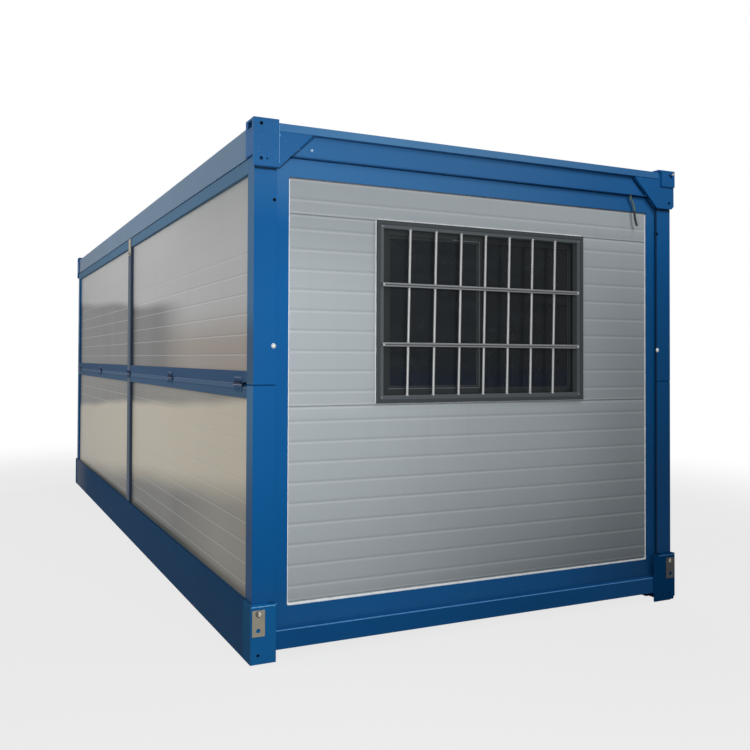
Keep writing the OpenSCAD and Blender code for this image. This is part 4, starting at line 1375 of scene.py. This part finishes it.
# a weld is a circle carried along a line: its size is one plus a cosine with the rod's pitch and a slow sine,
# and it tapers over the last 4 mm at both ends
def weldLine(start, end, radius):
    start, end = np.array(start, float), np.array(end, float)
    length = np.linalg.norm(end - start)
    share = np.linspace(0, 1, max(6, int(length / weld["pitch"] * 3)))
    passes = share * length / weld["pitch"]
    ripple = 1 + weld["ripple"] * (0.5 + 0.5 * np.cos(2 * math.pi * passes)) + 0.12 * np.sin(passes * 0.7)
    taper = np.clip(np.minimum(share, 1 - share) * length / 0.004, 0.25, 1)
    path = start + (end - start) * share[:, None]
    return swept(path, roundSection(radius, steps=8), up=(0, 1, 0), grow=ripple * taper)


# a flattened ball: its radius and height are cosine and sine of the latitude
def weldSpot(centre, radius, flat=0.6):
    angle = np.linspace(-math.pi / 2 * 0.9, math.pi / 2 * 0.9, 7)
    return turned(np.stack([radius * np.cos(angle), radius * flat * np.sin(angle)], -1), centre, steps=14)


def makeWelds(w):
    frames, bright, seams = Piece(), Piece(), Piece()
    for piece, lines, corners in ((bright, w["leftPlateLines"], leftCorners),
                                  (frames, w["gussetLines"], allCorners),
                                  (frames, w["rightBlockLines"], rightCorners),
                                  (seams, w["footLines"], allCorners)):
        for line in lines:
            piece.atCorners(weldLine(*line), corners)
    for spot in w["leftSpots"]:
        bright.atCorners(weldSpot(*spot), leftCorners)
    frames.make("frame_welds", shell, bluePaint, "blue_steel", crease=80)
    bright.make("frame_welds_bright", shell, litWeld, "blue_steel", crease=80)
    seams.make("foot_welds", shell, seamHighlight, "blue_steel", crease=80)


makeWelds(weld)
print("welds laid")

# fold hinges: a knuckle in five parts on a pin, two leaves with screws, a lip between them and a rubber wedge
# beside each; depths are in from the long side's outermost face
foldHinge = {
    "parts": 5,
    "gap": 0.0012,
    "knuckle": 0.0058,
    "axisIn": 0.006,
    "pin": (0.0030, 0.0036),
    "leafHigh": 0.0335,
    "leafDeep": (0.0078, 0.0112),
    "leafCorner": 0.007,
    "screws": (0.20, 0.50, 0.80),   # shares of the leaf's length
    "screwDrop": 0.021,
    "screwProfile": [(0.0046, -0.001), (0.0046, 0.0004), (0.0036, 0.0014), (0.0018, 0.0018)],
    "lipAt": (0.0112, 0.0022),
    "lipEndsIn": 0.12,
    "lipRadius": 0.0014,
    "wedgeLong": 0.038,
    "wedgeDeep": (0.0106, 0.0135),
}


def makeFoldHinges(side):
    h = foldHinge
    node, right = f"{side}_wall_hinges", side == "right"
    low, high = boxOf(node)
    middle = (low[2] + high[2]) / 2
    ends = np.unique(np.round(pointsOf(node)[:, 1], 4)).reshape(-1, 2)  # where each hinge starts and ends
    leaves, knuckles, screws, wedges, lips = Piece(), Piece(), Piece(), Piece(), Piece()
    axis, r, (tip, pin) = (h["axisIn"], 0, middle), h["knuckle"], h["pin"]

    for start, end in ends:
        long = (end - start) / h["parts"]
        for k in range(h["parts"]):
            a, b = start + k * long + h["gap"] / 2, start + (k + 1) * long - h["gap"] / 2
            profile = [(r * 0.86, a), (r, a + 0.0008), (r, b - 0.0008), (r * 0.86, b)]
            knuckles.atSide(turned(profile, axis, (0, 1, 0), 20), right)
        profile = [(tip, start - 0.0022), (pin, start - 0.0012), (pin, end + 0.0012), (tip, end + 0.0022)]
        knuckles.atSide(turned(profile, axis, (0, 1, 0), 16), right)
        for way in (1, -1):
            edges = sorted((middle + way * 0.0015, middle + way * h["leafHigh"]))
            outline = rounded(rectangle((start + 0.001, end - 0.001), edges), h["leafCorner"], 5)
            leaves.atSide(plate(outline, h["leafDeep"], 0.0008, (1, 2)), right)
            for share in h["screws"]:
                at = (h["leafDeep"][0], start + share * (end - start), middle + way * h["screwDrop"])
                screws.atSide(turned(h["screwProfile"], at, (-1, 0, 0), 16), right)
        far, near = start - h["wedgeLong"], start - 0.003
        wedge = [(far, middle + 0.002), (near, middle - 0.017), (near, middle + 0.005), (far, middle + 0.011)]
        wedges.atSide(plate(rounded(wedge, 0.002, 4), h["wedgeDeep"], 0.0008, (1, 2)), right)

    deep, above = h["lipAt"]
    reach = (ends[0][0] + h["lipEndsIn"], 0.0, ends[-1][1] - h["lipEndsIn"])
    lip = [(deep, y, middle + above) for y in reach]
    lips.atSide(swept(lip, roundSection(h["lipRadius"], steps=8)), right)
    leaves.make(f"{side}_fold_hinge_leaves", shell, leafPaint, "blue_steel", [node], 28)
    knuckles.make(f"{side}_fold_hinge_knuckles", shell, wornShadedKnuckle, "blue_steel")
    screws.make(f"{side}_fold_hinge_screws", shell, basePaint, "blue_steel")
    wedges.make(f"{side}_fold_plugs", shell, foldRubber)
    lips.make(f"{side}_fold_lip", shell, litLipPaint, "blue_steel")


makeFoldHinges("left")
makeFoldHinges("right")

# latch straps at the top of the mullions, each with a rib and a bolt at its foot
latch = {
    "deep": (0.0072, 0.012),
    "corner": 0.008,
    "ribHalf": 0.011,
    "ribEndsIn": (0.034, 0.012),
    "ribDeep": (0.0050, 0.0082),
    "boltUp": 0.014,
    "boltSize": 0.85,
}


def makeLatches(c):
    co = pointsOf("wall_latches")
    ys, zs = (co[:, 1].min(), co[:, 1].max()), (co[:, 2].min(), co[:, 2].max())
    middle = (ys[0] + ys[1]) / 2
    strap = rounded(rectangle(ys, zs), c["corner"], 5)
    ribHeights = (zs[0] + c["ribEndsIn"][0], zs[1] - c["ribEndsIn"][1])
    rib = rounded(rectangle((middle - c["ribHalf"], middle + c["ribHalf"]), ribHeights), c["corner"], 5)
    straps, bolts = Piece(), Piece()
    for right in (False, True):
        straps.atSide(plate(strap, c["deep"], 0.0010, (1, 2)), right)
        straps.atSide(plate(rib, c["ribDeep"], 0.0016, (1, 2)), right)
        bolts.atSide(domeBolt((c["deep"][0], middle, zs[0] + c["boltUp"]), (-1, 0, 0), c["boltSize"]), right)
    straps.make("wall_latch_straps", shell, latchPlate, "latch_steel", ["wall_latches"], 28)
    bolts.make("wall_latch_bolts", shell, blackRubber, crease=28)


makeLatches(latch)
print("hinges and latches made")

# roof sheet screws, few faces each
roofScrews = {
    "across": 5,
    "edgeIn": 0.08,
    "profile": [(0.0085, -0.0008), (0.0085, 0.0010), (0.00476, 0.0014), (0.00476, 0.00368),
                (0.00255, 0.0046)],
}


def makeRoofScrews(s):
    low, high = boxOf("roof_deck")
    co = pointsOf("roof_deck")
    tops = np.unique(np.round(co[np.abs(co[:, 2] - high[2]) < 0.0005][:, 1], 4))
    ribs = tops.reshape(-1, 2).mean(1)
    piece = Piece()
    for y in ribs:
        for x in np.linspace(low[0] + s["edgeIn"], high[0] - s["edgeIn"], s["across"]):
            piece.add(turned(s["profile"], (x, y, high[2]), (0, 0, 1), 10))
    piece.make("roof_deck_screws", shell, boltSteel)


makeRoofScrews(roofScrews)
print("roof screws placed")

# lamps, sky and floor
studio = {
    "sky": 0.205,
    "keyLamp": {"place": (-1.4, -4.65, 1.6), "aim": (-1.15, -2.9, 1.3), "size": 1.6, "power": 28},
    "topLamp": {"place": (1.5, -4.3, 3.7), "aim": (0.5, -2.9, 2.3), "size": 1.0, "power": 24},
    "sideLamp": {"place": (-6.6, -0.6, 3.4), "aim": (-1.2, -0.4, 1.4), "size": 3.0, "power": 150},
    "backLamp": {"place": (6.5, 7.5, 4.6), "aim": (0.6, 1.4, 1.2), "size": 4.5, "power": 650},
    "floor": srgb(145, 145, 145),
    "floorRadius": 60,
    "floorRings": 8,
    "floorSteps": 96,
    "floorDown": 0.001,
    "nearWhite": 0.78,   # share of plain white that the camera sees under the house
    "fadeFrom": 3.4,
    "fadeTo": 7.5,
}
white = (1, 1, 1, 1)


# a lamp shines along its own -Z, so it tips by the angle from straight down and turns to face its aim
def addLamp(name):
    look = studio[name]
    data = bpy.data.lights.new(name, "AREA")
    data.shape, data.size, data.energy = "DISK", look["size"], look["power"]
    made = bpy.data.objects.new(name, data)
    made.location = look["place"]
    aim = np.array(look["aim"]) - np.array(look["place"])
    tip = math.atan2(math.hypot(aim[0], aim[1]), -aim[2])
    made.rotation_euler = (tip, 0, math.atan2(aim[1], aim[0]) - math.pi / 2)
    made.visible_camera = False
    bpy.context.collection.objects.link(made)


# 1 for what the camera sees, directly, in gloss or through glass, and 0 for light on the object
def seenRays(paint):
    rays = paint.node("ShaderNodeLightPath", pick="Is Camera Ray")
    return rays.larger(rays["Is Glossy Ray"]).larger(rays["Is Transmission Ray"])


# the sky is plain white where it is seen, and softer as a light
def addSky(level):
    world = bpy.data.worlds.new("studioSky")
    bpy.context.scene.world = world
    paint = Paint("studioSky", world)
    strength = level + (1 - level) * seenRays(paint)
    sky = paint.node("ShaderNodeBackground", sockets={"Color": white, "Strength": strength})
    paint.node("ShaderNodeOutputWorld", sockets={"Surface": sky})


# a wide disc that takes the house's shadow and fades to plain white away from it; its radius grows with the
# square of the ring's share
def addFloor(s):
    paint = Paint("studioFloor")
    far = paint.node("ShaderNodeVectorMath", {"operation": "LENGTH"}, {0: paint.where}, "Value")
    fade = s["nearWhite"] + (1 - s["nearWhite"]) * far.step(s["fadeFrom"], s["fadeTo"])
    tone = paint.toned(s["floor"], paint.noise(40.0, 3.0), 0.02)
    plain = paint.node("ShaderNodeBsdfDiffuse", sockets={"Color": tone})
    bright = paint.node("ShaderNodeEmission", sockets={"Color": white, "Strength": 1.0})
    both = paint.node("ShaderNodeMixShader", sockets={0: fade * seenRays(paint), 1: plain, 2: bright})
    paint.node("ShaderNodeOutputMaterial", sockets={"Surface": both})
    rings, steps = s["floorRings"], s["floorSteps"]
    angle = np.linspace(0, 2 * math.pi, steps, endpoint=False)
    radius = s["floorRadius"] * np.linspace(0.02, 1, rings)[:, None] ** 2
    flat = np.stack([radius * np.cos(angle), radius * np.sin(angle), 0 * radius * angle - s["floorDown"]], -1)
    mesh = bpy.data.meshes.new("studioFloor")
    faces = gridQuads(rings, steps, wrapAcross=True).tolist() + [list(range(steps))]
    mesh.from_pydata(flat.reshape(-1, 3).tolist(), [], faces)
    mesh.materials.append(paint.material)
    made = bpy.data.objects.new("studioFloor", mesh)
    bpy.context.collection.objects.link(made)


for lamp in ("keyLamp", "topLamp", "sideLamp", "backLamp"):
    addLamp(lamp)
addSky(studio["sky"])
addFloor(studio)
bpy.context.scene.view_settings.view_transform = "Standard"
print("studio ready")
